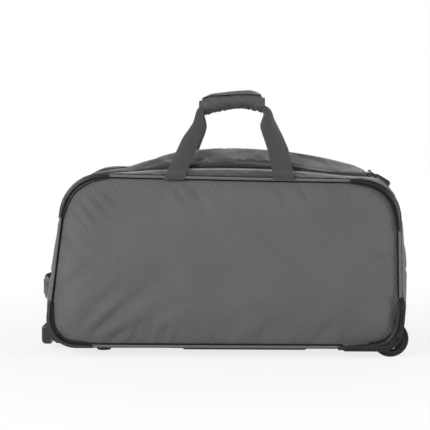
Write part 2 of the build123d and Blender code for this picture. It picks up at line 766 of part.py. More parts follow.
def build():
    nodes = dict(gusset_panels)
    for name, side in SIDES.items():
        nodes[f"{name}_panel"] = face_panel(side)
        nodes[f"{name}_piping"] = piping(side)
        for corner, zone in guard_zones.items():
            nodes[f"{name}_{corner}_guard"] = corner_guard({"y": (-BIG, BIG), **zone}, side)
        nodes[f"{name}_wheel_housing"] = wheel_housing(side)
        nodes[f"{name}_wheel_tyre"] = on_axle(side, tyre())
        nodes[f"{name}_wheel_hub"] = on_axle(side, hub())
        nodes[f"{name}_wheel_bearings"] = [on_axle(side, piece) for piece in bearings()]
        nodes[f"{name}_wheel_axle"] = on_axle(side, axle())
        nodes[f"{name}_skid_rail"] = skid_rail(side)
        nodes[f"{name}_foot"] = foot(side)
        nodes[f"{name}_carry_handle"] = carry_handle(side)
        nodes[f"{name}_strap_anchors"] = strap_anchors(side)
        nodes[f"{name}_grip_wrap"] = grip_half(side)
        nodes[f"{name}_outer_tube"] = tube(outer_tube_width, outer_tube_height, socket_back + seat_gap,
                                           bracket_x - 0.1, side)
        nodes[f"{name}_inner_tube"] = tube(inner_width, inner_height, tube_seat_x, inner_tube_end, side)
    nodes["zip_frame_tape"] = frame_tape
    nodes["zip_coil"] = coil
    nodes["zip_lid_tape"] = lid_tape
    nodes["lid_panel"] = lid_pad
    for name, (place, travel) in sliders.items():
        nodes[f"{name}_zip_slider"], pivot = zip_slider(place, travel)
        nodes[f"{name}_zip_pull"] = zip_pull(pivot)
        print(name, "zip pull pivot", [round(value, 3) for value in pivot])
    nodes["end_grab_handle"] = end_grab_handle()
    nodes["kick_plate"] = kick_plate()
    nodes["base_board"] = base_board()
    nodes["trolley_socket"] = trolley_socket()
    nodes["trolley_grip"] = trolley_grip()
    nodes["trolley_button"] = trolley_button()
    nodes["trolley_bracket"] = trolley_bracket()
    nodes["trolley_tunnel"] = trolley_tunnel()
    return nodes


os.makedirs("parts", exist_ok=True)
for node, solids in build().items():
    save(node, *(solids if isinstance(solids, list) else [solids]))
print("lid hinge", round(hinge_y, 2), round(hinge_z, 2))
print("handle axis", round(handle_axis_y, 2), round(handle_axis_z, 2), "lean", round(handle_lean, 1))
print("wheel", wheel_axle_x, round(wheel_y, 2), wheel_axle_z)
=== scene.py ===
# %% [markdown]
# # A wheeled holdall around its fixed frame
# The bag on the bench is a soft body of coated cloth, closed by a zip on three sides of its lid. It stands on
# two wheels and two feet. The imported model brings the sizes, the hard parts and everything that moves. This
# lesson adds cloth, webbing, thread and moulded finishes, and it moves nothing that came with the frame.
# The frame's parts are kept here, and the box of the finished piece is printed at the end.

# %% Load the frame
import json
import math
import bpy
import numpy as np
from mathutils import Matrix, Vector, noise
from mathutils.bvhtree import BVHTree
from mathutils.geometry import delaunay_2d_cdt


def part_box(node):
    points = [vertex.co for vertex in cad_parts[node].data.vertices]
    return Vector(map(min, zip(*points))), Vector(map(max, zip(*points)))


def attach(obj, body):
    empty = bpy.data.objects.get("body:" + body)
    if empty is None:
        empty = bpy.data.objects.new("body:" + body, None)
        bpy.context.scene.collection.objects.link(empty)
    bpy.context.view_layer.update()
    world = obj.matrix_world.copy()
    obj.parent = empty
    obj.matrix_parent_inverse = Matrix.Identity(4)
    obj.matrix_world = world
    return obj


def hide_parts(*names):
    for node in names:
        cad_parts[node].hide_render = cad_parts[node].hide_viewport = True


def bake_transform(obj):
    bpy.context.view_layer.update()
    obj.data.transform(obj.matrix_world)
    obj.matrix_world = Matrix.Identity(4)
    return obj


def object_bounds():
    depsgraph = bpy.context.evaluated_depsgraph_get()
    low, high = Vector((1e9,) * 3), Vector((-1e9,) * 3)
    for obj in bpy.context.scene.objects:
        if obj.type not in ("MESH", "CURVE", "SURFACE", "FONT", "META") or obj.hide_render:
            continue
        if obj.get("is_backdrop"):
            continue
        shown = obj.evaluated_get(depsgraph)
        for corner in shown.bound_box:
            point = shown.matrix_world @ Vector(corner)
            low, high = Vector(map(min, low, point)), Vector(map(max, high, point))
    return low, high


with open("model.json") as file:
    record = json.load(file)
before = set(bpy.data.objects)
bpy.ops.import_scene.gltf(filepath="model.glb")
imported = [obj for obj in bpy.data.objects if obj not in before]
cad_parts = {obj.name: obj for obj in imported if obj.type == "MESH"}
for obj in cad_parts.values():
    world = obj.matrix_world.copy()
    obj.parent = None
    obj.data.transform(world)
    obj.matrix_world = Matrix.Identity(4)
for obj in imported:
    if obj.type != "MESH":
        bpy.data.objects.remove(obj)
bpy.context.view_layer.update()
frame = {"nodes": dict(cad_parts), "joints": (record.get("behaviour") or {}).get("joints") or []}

MM = 0.001
FRONT, REAR = -1, 1
SIDES = {"front": FRONT, "rear": REAR}

# %% [markdown]
# ## The seam outline
# Everything on a bag like this hangs on one line: the outline where the front panel is sewn to the band that
# goes round it. It is a box with four different corner radii, a leaning handle end and a top edge that dips a
# little. The line could be traced point by point. Building it from corners and radii keeps it smooth, and one
# number, the distance along the seam, then says where every other piece sits. The corners are given where the
# straight edges would meet, so they lie a little outside the panel's box.

# %% Seam outline
panel_low, panel_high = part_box("front_panel")
corner_cut_handle, corner_cut_wheel = 8.2 * MM, 2.2 * MM
seam_left, seam_right = panel_low.x - corner_cut_handle, panel_high.x + corner_cut_wheel
seam_floor = panel_low.z - 0.3 * MM
handle_end_lean, wheel_end_lean = 42 * MM, 6 * MM
handle_end_rise, wheel_end_rise, top_dip = 326 * MM, 314 * MM, 1.0 * MM
corner_radii = {"low_wheel": 40 * MM, "top_wheel": 76 * MM, "top_handle": 80 * MM, "low_handle": 54 * MM}
half_depth = 150 * MM


def fillet(before, corner, after, radius, steps=18):
    """Points of the arc that rounds a corner."""
    u, v = (before - corner).normalized(), (after - corner).normalized()
    half = u.angle(v) / 2
    centre = corner + (u + v).normalized() * radius / math.sin(half)
    first, last = corner + u * radius / math.tan(half) - centre, corner + v * radius / math.tan(half) - centre
    turn = first.angle_signed(last)
    return [centre + Vector((first.x * math.cos(a) + first.y * math.sin(a),
                             -first.x * math.sin(a) + first.y * math.cos(a)))
            for a in (turn * k / steps for k in range(steps + 1))]


def seam_points():
    """Corners and arcs of the outline, from the middle of the base, round and back."""
    low_handle, low_wheel = Vector((seam_left, seam_floor)), Vector((seam_right, seam_floor))
    top_wheel = Vector((seam_right - wheel_end_lean, seam_floor + wheel_end_rise))
    top_handle = Vector((seam_left + handle_end_lean, seam_floor + handle_end_rise))

    def top_edge(t):
        dip = 4 * top_dip * t * (1 - t)
        return top_wheel.lerp(top_handle, t) - Vector((0, dip))

    middle = low_handle.lerp(low_wheel, 0.5)
    return ([middle] + fillet(low_handle, low_wheel, top_wheel, corner_radii["low_wheel"])
            + fillet(low_wheel, top_wheel, top_edge(0.01), corner_radii["top_wheel"])
            + [top_edge(t) for t in np.linspace(0.2, 0.8, 13)]
            + fillet(top_edge(0.99), top_handle, low_handle, corner_radii["top_handle"])
            + fillet(top_handle, low_handle, low_wheel, corner_radii["low_handle"]) + [middle])


def unit(rows):
    """Each row of an array, made one unit long."""
    return rows / np.linalg.norm(rows, axis=-1)[..., None]


def run_length(points):
    """Distance along a line at each of its points."""
    return np.concatenate([[0], np.cumsum(np.linalg.norm(np.diff(points, axis=0), axis=1))])


def evenly(points, count, closed=False):
    """The same line with evenly spaced points."""
    points = np.array(points, float)
    along = run_length(points)
    wanted = np.linspace(0, along[-1], count, endpoint=not closed)
    return np.stack([np.interp(wanted, along, points[:, k]) for k in range(points.shape[1])], axis=1), along[-1]


def soften(values, passes):
    """Rounds off a closed row of values."""
    for _ in range(passes):
        values = (np.roll(values, 1, 0) + 2 * values + np.roll(values, -1, 0)) / 4
    return values


seam_count = 1200
seam_xz, seam_length = evenly(seam_points(), seam_count, closed=True)
seam_xz = soften(seam_xz, 6)
seam_run = np.roll(seam_xz, -1, 0) - np.roll(seam_xz, 1, 0)
seam_out = np.stack([seam_run[:, 1], -seam_run[:, 0]], axis=1)
seam_out = unit(soften(unit(seam_out), 10))


def on_seam(s):
    """Place and outward direction on the seam, at distances s along it from the middle of the base."""
    t = np.asarray(s, float) / seam_length * seam_count
    low = np.floor(t).astype(int)
    share = (t - low)[..., None]
    a, b = low % seam_count, (low + 1) % seam_count
    return seam_xz[a] * (1 - share) + seam_xz[b] * share, seam_out[a] * (1 - share) + seam_out[b] * share


def seam_at(facing, x=None, z=None):
    """Distance along the seam of the point with that x or z, on the side that faces that way."""
    side = seam_out @ np.array(facing, float) > 0.35
    miss = np.abs(seam_xz[:, 0] - x) if x is not None else np.abs(seam_xz[:, 1] - z)
    return float(np.argmin(np.where(side, miss, 9.0))) * seam_length / seam_count


def seam_gap(s, mark):
    """The shorter way round the seam between two distances along it."""
    return np.abs((s - mark + seam_length / 2) % seam_length - seam_length / 2)


UP, DOWN, WHEELWARD, HANDLEWARD = (0, 1), (0, -1), (1, 0), (-1, 0)
print("seam length", round(seam_length, 3))

# %% [markdown]
# ## The skin between the two seams
# The band that runs round the bag is crowned: fullest in the middle of its depth and level with the seam at its
# edges. Its shape is read from the frame by casting rays inward from outside, at every distance along the seam
# and across the depth, and it is kept as a height above the seam. Where the frame has a hole, for a wheel or the
# handle socket, the height is filled in from its surroundings. A function then gives any point on the skin, with
# a lift off it. Zip, tape, lid and seams can all be laid on the body with it.

# %% Skin height map
skin_rows, skin_columns = 720, 61
skin_s = np.arange(skin_rows) * seam_length / skin_rows
skin_y = np.linspace(-half_depth, half_depth, skin_columns)
rim_blend_from = 104 * MM
corner_tuck, corner_reach = 0.9, 95 * MM
ray_start, ray_length = 120 * MM, 140 * MM


def tree_of(nodes):
    """The frame's own surface of some nodes, ready for rays."""
    corners, faces = [], []
    for node in nodes:
        mesh = frame["nodes"][node].data
        start = len(corners)
        corners += [v.co.copy() for v in mesh.vertices]
        faces += [[start + i for i in p.vertices] for p in mesh.polygons]
    return BVHTree.FromPolygons(corners, faces)


gusset_nodes = ["base_panel", "handle_end_lower_panel", "handle_end_upper_panel",
                "wheel_end_lower_panel", "wheel_end_upper_panel", "top_panel"]
surfaces = [(tree_of(gusset_nodes), 0.0), (tree_of(["zip_frame_tape", "zip_lid_tape"]), 0.2 * MM),
            (tree_of(["zip_coil"]), -1.3 * MM), (tree_of(["lid_panel"]), -4.0 * MM)]


def measure_skin():
    """Heights above the seam over the whole band, level at its rims, smoothed, and low at the handle corner."""
    places, outward = on_seam(skin_s)
    height = np.full((skin_rows, skin_columns), np.nan)
    for i in range(skin_rows):
        out = Vector((outward[i, 0], 0, outward[i, 1]))
        for j, y in enumerate(np.clip(skin_y, -half_depth + 0.2 * MM, half_depth - 0.2 * MM)):
            start = Vector((places[i, 0], y, places[i, 1])) + out * ray_start
            for tree, correction in surfaces:
                hit = tree.ray_cast(start, -out, ray_length)
                if hit[0] is not None:
                    height[i, j] = ray_start - hit[3] + correction
                    break
    rows = np.arange(skin_rows)
    share = np.clip((np.abs(skin_y) - rim_blend_from) / (half_depth - rim_blend_from), 0, 1)
    for half, edge in ((skin_y < 0, height[:, 0].copy()), (skin_y > 0, height[:, -1].copy())):
        seen = ~np.isnan(edge)
        edge = np.interp(rows, rows[seen], edge[seen], period=skin_rows)
        height[:, half] -= edge[:, None] * (share * share * (3 - 2 * share))[half]
    height[:, 0] = height[:, -1] = 0.0
    known = ~np.isnan(height)
    filled = np.where(known, height, 0.0)
    for _ in range(400):
        around = (np.roll(filled, 1, 0) + np.roll(filled, -1, 0)
                  + np.pad(filled, ((0, 0), (1, 0)))[:, :-1] + np.pad(filled, ((0, 0), (0, 1)))[:, 1:]) / 4
        filled = np.where(known, height, around)
    for _ in range(4):
        filled[:, 1:-1] = (filled[:, :-2] + 2 * filled[:, 1:-1] + filled[:, 2:]) / 4
        filled = soften(filled, 1)
    corner = np.array([seam_left + handle_end_lean, seam_floor + handle_end_rise])
    middle = np.argmin(np.linalg.norm(seam_xz - corner, axis=1)) * seam_length / seam_count
    tuck = 1 - corner_tuck / (1 + (seam_gap(skin_s, middle) / corner_reach) ** 6)
    return np.where(filled > 0, filled * tuck[:, None], filled), float(known.mean())


skin_height, share_seen = measure_skin()
print("skin seen", round(share_seen, 3), "highest", round(float(skin_height.max()) * 1000, 1), "mm")


def skin_base(s, y):
    """A point on the band, at a distance along the seam and a depth."""
    s, y = np.broadcast_arrays(np.asarray(s, float), np.asarray(y, float))
    place, outward = on_seam(s)
    i = s / seam_length * skin_rows
    j = np.clip((y + half_depth) / (2 * half_depth) * (skin_columns - 1), 0, skin_columns - 1.001)
    i0, j0 = np.floor(i).astype(int), np.floor(j).astype(int)
    a, b = i - i0, j - j0
    i0, i1 = i0 % skin_rows, (i0 + 1) % skin_rows
    h = (skin_height[i0, j0] * (1 - a) * (1 - b) + skin_height[i1, j0] * a * (1 - b)
         + skin_height[i0, j0 + 1] * (1 - a) * b + skin_height[i1, j0 + 1] * a * b)
    return np.stack([place[..., 0] + outward[..., 0] * h, y, place[..., 1] + outward[..., 1] * h], axis=-1)


def skin_normal(s, y, reach=5 * MM):
    """The direction straight out of the band."""
    along = skin_base(s + reach, y) - skin_base(s - reach, y)
    y = np.asarray(y, float)
    across = skin_base(s, np.minimum(y + reach, half_depth)) - skin_base(s, np.maximum(y - reach, -half_depth))
    return unit(np.cross(across, along))


def skin(s, y, lift=0.0):
    """A point on the body between the seams, lifted off it along its own direction."""
    return skin_base(s, y) + skin_normal(s, y) * np.asarray(lift, float)[..., None]


# %% [markdown]
# ## Cloth as flat patches
# A sewn piece starts as a flat shape on the cutting table. Each patch is drawn flat, filled with an even field of
# triangles, and then placed in space by a function. Triangles of even size bend in every direction alike, which
# a grid of squares doesn't, and a simulation needs that. The flat place of each point is kept on the mesh as
# "cloth", in metres, so that the weave follows the cloth wherever it bends.

# %% Patch builder
def inside(loops, points):
    """Which points lie inside the loops, by the even-odd rule."""
    odd = np.zeros(len(points), bool)
    for loop in loops:
        a, b = np.array(loop), np.roll(np.array(loop), -1, 0)
        for (x0, y0), (x1, y1) in zip(a, b):
            if y0 == y1:
                continue
            crosses = ((y0 > points[:, 1]) != (y1 > points[:, 1]))
            odd ^= crosses & (points[:, 0] < (x1 - x0) * (points[:, 1] - y0) / (y1 - y0) + x0)
    return odd


def outline_points(corners, spacing):
    """A closed outline with a point at least every spacing."""
    found = []
    for a, b in zip(corners, list(corners[1:]) + [corners[0]]):
        a, b = np.array(a, float), np.array(b, float)
        count = max(1, int(round(np.linalg.norm(b - a) / spacing)))
        found += [tuple(a + (b - a) * k / count) for k in range(count)]
    return found


def edge_distance(points, loops):
    """How far each point is from the nearest edge of the loops."""
    nearest = np.full(len(points), 9.0)
    for loop in loops:
        a, b = np.array(loop), np.roll(np.array(loop), -1, 0)
        for p, q in zip(a, b):
            d = q - p
            t = np.clip(((points - p) @ d) / max(d @ d, 1e-12), 0, 1)
            nearest = np.minimum(nearest, np.linalg.norm(points - p - t[:, None] * d, axis=1))
    return nearest


def new_piece(name, corners, faces, cloth=None):
    """A smooth-shaded mesh object, with each point's flat place on the cloth."""
    mesh = bpy.data.meshes.new(name)
    mesh.from_pydata([tuple(c) for c in corners], [], [tuple(f) for f in faces])
    mesh.update()
    mesh.shade_smooth()
    if cloth is not None:
        flat = np.zeros((len(corners), 3), np.float32)
        flat[:, :2] = cloth
        mesh.attributes.new("cloth", "FLOAT_VECTOR", "POINT").data.foreach_set("vector", flat.ravel())
    piece = bpy.data.objects.new(name, mesh)
    bpy.context.scene.collection.objects.link(piece)
    return piece


def grid_faces(rows, columns, ring=False, loop=False, flip=False, start=0):
    """The quads of a grid of points. A ring's last column joins its first, and a loop's last row its first."""
    around = ((0, 0), (0, 1), (1, 1), (1, 0))
    faces = [tuple(start + (r + i) % rows * columns + (k + j) % columns for i, j in around)
             for r in range(rows if loop else rows - 1) for k in range(columns if ring else columns - 1)]
    return [face[::-1] for face in faces] if flip else faces


def patch(name, loops, spacing, place):
    """A cloth patch: loops drawn flat, the first outside and the rest holes, placed by place(u, v, rim)."""
    loops = [outline_points(loop, spacing) for loop in loops]
    rim_points = np.array([p for loop in loops for p in loop])
    low, high = rim_points.min(0), rim_points.max(0)
    field, row, v = [], 0, low[1]
    while v < high[1]:
        shift = spacing / 2 if row % 2 else 0.0
        field += [(u, v) for u in np.arange(low[0] + shift, high[0], spacing)]
        v += spacing * math.sqrt(3) / 2
        row += 1
    field = np.array(field)
    field = field[inside(loops, field)]
    field = field[edge_distance(field, loops) > spacing * 0.55]
    points = np.concatenate([rim_points, field])
    edges, start = [], 0
    for loop in loops:
        edges += [(start + k, start + (k + 1) % len(loop)) for k in range(len(loop))]
        start += len(loop)
    made = delaunay_2d_cdt([Vector(p * 1000) for p in points], edges, [], 0, 1e-4)
    flat = np.array([tuple(v) for v in made[0]]) / 1000
    faces = np.array([f for f in made[2] if len(f) == 3])
    faces = faces[inside(loops, flat[faces].mean(1))]
    rim = edge_distance(flat, loops)
    piece = new_piece(name, place(flat[:, 0], flat[:, 1], rim), faces, flat)
    piece.data.attributes.new("rim", "FLOAT", "POINT").data.foreach_set("value", rim.astype(np.float32))
    return piece


def rim_of(piece):
    """Each point's distance from the edge of its flat patch."""
    data = piece.data.attributes["rim"].data
    values = np.zeros(len(data), np.float32)
    data.foreach_get("value", values)
    return values.astype(float)


def corners_of(mesh):
    """All points of a mesh as rows."""
    values = np.zeros(len(mesh.vertices) * 3, np.float32)
    mesh.vertices.foreach_get("co", values)
    return values.reshape(-1, 3).astype(float)


def applied(piece, kind, **settings):
    """Adds a modifier and applies it."""
    modifier = piece.modifiers.new(kind.lower(), kind)
    for key, value in settings.items():
        setattr(modifier, key, value)
    graph = bpy.context.evaluated_depsgraph_get()
    mesh = bpy.data.meshes.new_from_object(piece.evaluated_get(graph), preserve_all_data_layers=True,
                                           depsgraph=graph)
    piece.modifiers.clear()
    old, piece.data = piece.data, mesh
    bpy.data.meshes.remove(old)
    return piece


def ripple(points, size, amount, seed):
    """Smooth lumps of that size and height, the same on every run."""
    offset = Vector((seed * 7.13, seed * 3.7, seed * 1.9))
    return np.array([noise.noise(Vector(p) / size + offset) for p in points]) * amount


# %% [markdown]
# ## Stuffed cloth by simulation
# A panel sewn into piping is slightly larger than the gap that it closes, and the load behind it pushes it out. So
# it puckers along its seams. Drawn by hand, such puckers look alike. A cloth simulation gives them for free: the
# rim is pinned, the cloth grows a little, and pressure pushes it outward for some steps. How far any point may
# travel is capped, so that the shape stays the one that was built.

# %% Cloth simulation
def stuffed(piece, pinned_rim, pressure, growth, travel, frames=18, bending=3.0):
    """Runs the cloth from its built shape, held along its rim, and writes the settled one back."""
    start = corners_of(piece.data)
    group = piece.vertex_groups.new(name="sewn")
    for index in np.nonzero(rim_of(piece) < pinned_rim)[0]:
        group.add([int(index)], 1.0, "REPLACE")
    modifier = piece.modifiers.new("cloth", "CLOTH")
    settings = modifier.settings
    settings.quality = 5
    settings.mass = 0.35
    settings.tension_stiffness = settings.compression_stiffness = 22
    settings.shear_stiffness = 8
    settings.bending_stiffness = bending
    settings.use_pressure = True
    settings.uniform_pressure_force = pressure
    settings.shrink_min = settings.shrink_max = -growth
    settings.vertex_group_mass = "sewn"
    settings.effector_weights.gravity = 0.0
    modifier.collision_settings.use_collision = False
    scene = bpy.context.scene
    for step in range(1, frames + 1):
        scene.frame_set(step)
    settled = corners_of(piece.evaluated_get(bpy.context.evaluated_depsgraph_get()).data)
    piece.modifiers.clear()
    scene.frame_set(1)
    move = settled - start
    length = np.linalg.norm(move, axis=1)
    move *= (travel * np.tanh(length / travel) / np.maximum(length, 1e-9))[:, None]
    piece.data.vertices.foreach_set("co", (start + move).astype(np.float32).ravel())
    piece.data.update()
    print(piece.name, "settled, moved at most", round(float(length.max()) * 1000, 1), "mm")
    return piece


# %% [markdown]
# ## Finishes
# Cloth is threads first and colour second. Each cloth here has a weave drawn at its own scale from the cloth's
# flat coordinates, which sets both the bump and a slight change of colour, then broad, faint clouding, and a sheen
# for the fibre ends. Moulded parts have a fine spark-eroded grain, and steel and tube have drawn or turned lines.
# A picture of cloth would be quicker, but a drawn weave has no repeat and no seam.

# %% Node helpers
def new_material(name):
    material = bpy.data.materials.new(name)
    material.use_nodes = True
    nodes = material.node_tree.nodes
    return material, nodes, material.node_tree.links, nodes["Principled BSDF"]


def math_node(nodes, links, kind, a, b=None, c=None):
    """One step of arithmetic on numbers or on other nodes' outputs."""
    node = nodes.new("ShaderNodeMath")
    node.operation = kind
    for socket, value in zip(node.inputs, (a, b, c)):
        if value is None:
            continue
        if isinstance(value, (int, float)):
            socket.default_value = value
        else:
            links.new(value, socket)
    return node.outputs[0]


def noise_node(nodes, links, place, size, detail=2.0):
    node = nodes.new("ShaderNodeTexNoise")
    node.inputs["Scale"].default_value = 1 / size
    node.inputs["Detail"].default_value = detail
    links.new(place, node.inputs["Vector"])
    return node.outputs["Fac"]


def tinted(nodes, links, colour, brightness):
    """The colour times a brightness that changes over the surface."""
    node = nodes.new("ShaderNodeVectorMath")
    node.operation = "SCALE"
    node.inputs[0].default_value = colour
    links.new(brightness, node.inputs["Scale"])
    return node.outputs[0]


def bump_node(nodes, links, height, distance):
    """Tilts the surface as if it had that height, in metres."""
    node = nodes.new("ShaderNodeBump")
    node.inputs["Distance"].default_value = distance
    links.new(height, node.inputs["Height"])
    return node.outputs[0]


def grey(level):
    """A neutral grey, given as the screen shows it from 0 to 255."""
    v = level / 255
    v = ((v + 0.055) / 1.055) ** 2.4 if v > 0.04045 else v / 12.92
    return (v, v, v * 1.012)


def threads(nodes, links, place, pitch, turn=0.0, stretch=1.0):
    """Two crossing sets of rounded threads, as heights from 0 to 1."""
    mapping = nodes.new("ShaderNodeMapping")
    mapping.inputs["Rotation"].default_value = (0, 0, turn)
    mapping.inputs["Scale"].default_value = (math.pi / pitch / stretch, math.pi / pitch, math.pi / pitch)
    links.new(place, mapping.inputs["Vector"])
    split = nodes.new("ShaderNodeSeparateXYZ")
    links.new(mapping.outputs[0], split.inputs[0])
    waves = [math_node(nodes, links, "SINE", split.outputs[k]) for k in (0, 1)]
    product = math_node(nodes, links, "MULTIPLY", *waves)
    return math_node(nodes, links, "MULTIPLY_ADD", product, 0.5, 0.5)


def cloth_material(name, level, pitch, dash_pitch=0.0, dash_turn=0.6, depth=0.12 * MM, sheen=0.25, rough=0.88,
                   clouding=0.10, dash_tone=0.16, dash_stretch=1.0):
    """Woven cloth: fine threads, an optional pattern of raised dashes, and faint clouding."""
    material, nodes, links, shader = new_material(name)
    flat = nodes.new("ShaderNodeAttribute")
    flat.attribute_name = "cloth"
    spot = nodes.new("ShaderNodeTexCoord").outputs["Object"]
    weave = threads(nodes, links, flat.outputs["Vector"], pitch)
    height = math_node(nodes, links, "MULTIPLY", weave, 0.5)
    tone = math_node(nodes, links, "MULTIPLY_ADD", weave, 0.10, 0.95)
    if dash_pitch:
        dash = threads(nodes, links, flat.outputs["Vector"], dash_pitch, dash_turn, dash_stretch)
        dash = math_node(nodes, links, "POWER", dash, 2.2)
        height = math_node(nodes, links, "MULTIPLY_ADD", dash, 0.9, height)
        tone = math_node(nodes, links, "MULTIPLY_ADD", dash, dash_tone, tone)
        tone = math_node(nodes, links, "SUBTRACT", tone, dash_tone * 0.32)
    cloud = noise_node(nodes, links, spot, 70 * MM, 3.0)
    fleck = noise_node(nodes, links, spot, 1.6 * MM, 1.0)
    tone = math_node(nodes, links, "MULTIPLY_ADD", cloud, clouding, tone)
    tone = math_node(nodes, links, "MULTIPLY_ADD", fleck, 0.10, tone)
    tone = math_node(nodes, links, "SUBTRACT", tone, 0.06 + clouding / 2)
    links.new(tinted(nodes, links, grey(level), tone), shader.inputs["Base Color"])
    links.new(bump_node(nodes, links, height, depth), shader.inputs["Normal"])
    shader.inputs["Roughness"].default_value = rough
    shader.inputs["Sheen Weight"].default_value = sheen
    shader.inputs["Sheen Roughness"].default_value = 0.45
    shader.inputs["Specular IOR Level"].default_value = 0.25
    return material


def moulded_material(name, level, rough, grain=0.05 * MM, size=0.9 * MM, coat=0.0, wear=0.25):
    """Moulded plastic or rubber: fine grain, a rubbed look in places, and dust that dulls it."""
    material, nodes, links, shader = new_material(name)
    spot = nodes.new("ShaderNodeTexCoord").outputs["Object"]
    fine = noise_node(nodes, links, spot, size, 3.0)
    rubbed = noise_node(nodes, links, spot, 35 * MM, 4.0)
    tone = math_node(nodes, links, "MULTIPLY_ADD", rubbed, wear, 1 - wear / 2)
    tone = math_node(nodes, links, "MULTIPLY_ADD", fine, 0.12, tone)
    links.new(tinted(nodes, links, grey(level), tone), shader.inputs["Base Color"])
    rough_map = math_node(nodes, links, "MULTIPLY_ADD", rubbed, 0.16, rough - 0.08)
    links.new(rough_map, shader.inputs["Roughness"])
    links.new(bump_node(nodes, links, fine, grain), shader.inputs["Normal"])
    shader.inputs["Coat Weight"].default_value = coat
    shader.inputs["Coat Roughness"].default_value = 0.35
    return material


def metal_material(name, level, rough, stretch=(1, 1, 1), size=0.5 * MM):
    """Metal with lines drawn or turned in one direction."""
    material, nodes, links, shader = new_material(name)
    spot = nodes.new("ShaderNodeTexCoord").outputs["Object"]
    mapping = nodes.new("ShaderNodeMapping")
    mapping.inputs["Scale"].default_value = stretch
    links.new(spot, mapping.inputs["Vector"])
    lines = noise_node(nodes, links, mapping.outputs[0], size, 2.0)
    tone = math_node(nodes, links, "MULTIPLY_ADD", lines, 0.16, 0.92)
    links.new(tinted(nodes, links, grey(level), tone), shader.inputs["Base Color"])
    links.new(math_node(nodes, links, "MULTIPLY_ADD", lines, 0.2, rough - 0.1), shader.inputs["Roughness"])
    links.new(bump_node(nodes, links, lines, 0.02 * MM), shader.inputs["Normal"])
    shader.inputs["Metallic"].default_value = 1.0
    return material


# %% The finishes
panel_cloth = cloth_material("panel_cloth", 94, 0.62 * MM, dash_pitch=4.0 * MM, dash_turn=0.44, depth=0.3 * MM,
                             dash_tone=0.2, clouding=0.24, dash_stretch=1.6)
gusset_cloth = cloth_material("gusset_cloth", 88, 0.62 * MM, dash_pitch=1.9 * MM, dash_tone=0.3)
# The top band is the same cloth as the rest of the band, made darker as painted shade for the top, which faces away
# from the front light.
top_band_cloth = cloth_material("top_band_cloth", 64, 0.62 * MM, dash_pitch=1.9 * MM, dash_tone=0.3)
# The lid is the same cloth too, made darker still as painted shade for its upward face.
lid_cloth = cloth_material("lid_cloth", 58, 0.62 * MM, dash_pitch=1.9 * MM, dash_tone=0.3)
wrap_cloth = cloth_material("wrap_cloth", 78, 0.6 * MM, dash_pitch=1.5 * MM, dash_tone=0.3, clouding=0.2, rough=0.6)
lining_cloth = cloth_material("lining_cloth", 62, 0.4 * MM, depth=0.05 * MM, sheen=0.15, rough=0.7)
webbing_cloth = cloth_material("webbing_cloth", 68, 1.5 * MM, dash_pitch=0.75 * MM, dash_turn=math.pi / 4,
                               depth=0.25 * MM, sheen=0.2, dash_tone=0.25)
piping_cloth = cloth_material("piping_cloth", 102, 0.55 * MM, depth=0.1 * MM)
# Near-black cloth for the strip in the seam groove beside the piping: painted shade of the groove.
groove_cloth = cloth_material("groove_cloth", 26, 0.5 * MM, depth=0.05 * MM, sheen=0.05)
tape_cloth = cloth_material("tape_cloth", 66, 0.5 * MM, dash_pitch=0.9 * MM, dash_turn=math.pi / 4)
thread = cloth_material("thread", 92, 0.3 * MM, depth=0.04 * MM)
dark_thread = cloth_material("dark_thread", 30, 0.3 * MM, depth=0.04 * MM)
guard_rubber = moulded_material("guard_rubber", 17, 0.42, coat=0.12)
housing_plastic = moulded_material("housing_plastic", 20, 0.42, size=0.7 * MM)
tyre_rubber = moulded_material("tyre_rubber", 12, 0.7, size=1.1 * MM)
hub_plastic = moulded_material("hub_plastic", 26, 0.5)
foot_rubber = moulded_material("foot_rubber", 30, 0.7)
grip_plastic = moulded_material("grip_plastic", 32, 0.42, size=0.6 * MM, coat=0.05)
board_plastic = moulded_material("board_plastic", 58, 0.6, size=3 * MM)
coil_nylon = moulded_material("coil_nylon", 28, 0.42, grain=0.01 * MM)
pull_rubber = moulded_material("pull_rubber", 36, 0.5)
slider_metal = metal_material("slider_metal", 120, 0.32)
tube_metal = metal_material("tube_metal", 196, 0.34, stretch=(0.03, 1, 1))
steel = metal_material("steel", 205, 0.25, stretch=(1, 0.2, 1))


def finish_of(piece, material, lining=None):
    """Replaces a piece's materials, with the lining second where it has one."""
    piece.data.materials.clear()
    piece.data.materials.append(material)
    if lining:
        piece.data.materials.append(lining)
    return piece


def lined(piece, thickness, cloth):
    """Gives a cloth its thickness, with the lining on its inner face."""
    applied(piece, "SOLIDIFY", thickness=thickness, offset=-1.0, material_offset=1, material_offset_rim=0)
    return finish_of(piece, cloth, lining_cloth)


def thickened(piece, thickness, finish, edge=0.0, segments=2):
    """Gives a strip its thickness and, if asked, rounded edges."""
    applied(piece, "SOLIDIFY", thickness=thickness, offset=-1.0)
    if edge:
        applied(piece, "BEVEL", width=edge, segments=segments, limit_method="ANGLE", angle_limit=math.radians(50))
    return finish_of(piece, finish)


def placed(piece, body, nodes=()):
    """Attaches a piece to the body that carries it, and hides the frame nodes that it stands for."""
    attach(piece, body)
    if nodes:
        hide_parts(*nodes)
    return piece


# %% [markdown]
# ## The band round the body
# The real band is five cut pieces: a base, two pieces on each end and the top, joined by flat-felled seams. Each
# is a patch drawn by its distance along the seam and its depth. The cloth dips where a seam pulls it down, and
# the load inside gives it low, soft lumps. A solidify modifier gives the cloth its thickness, and its inner face
# gets the lining.

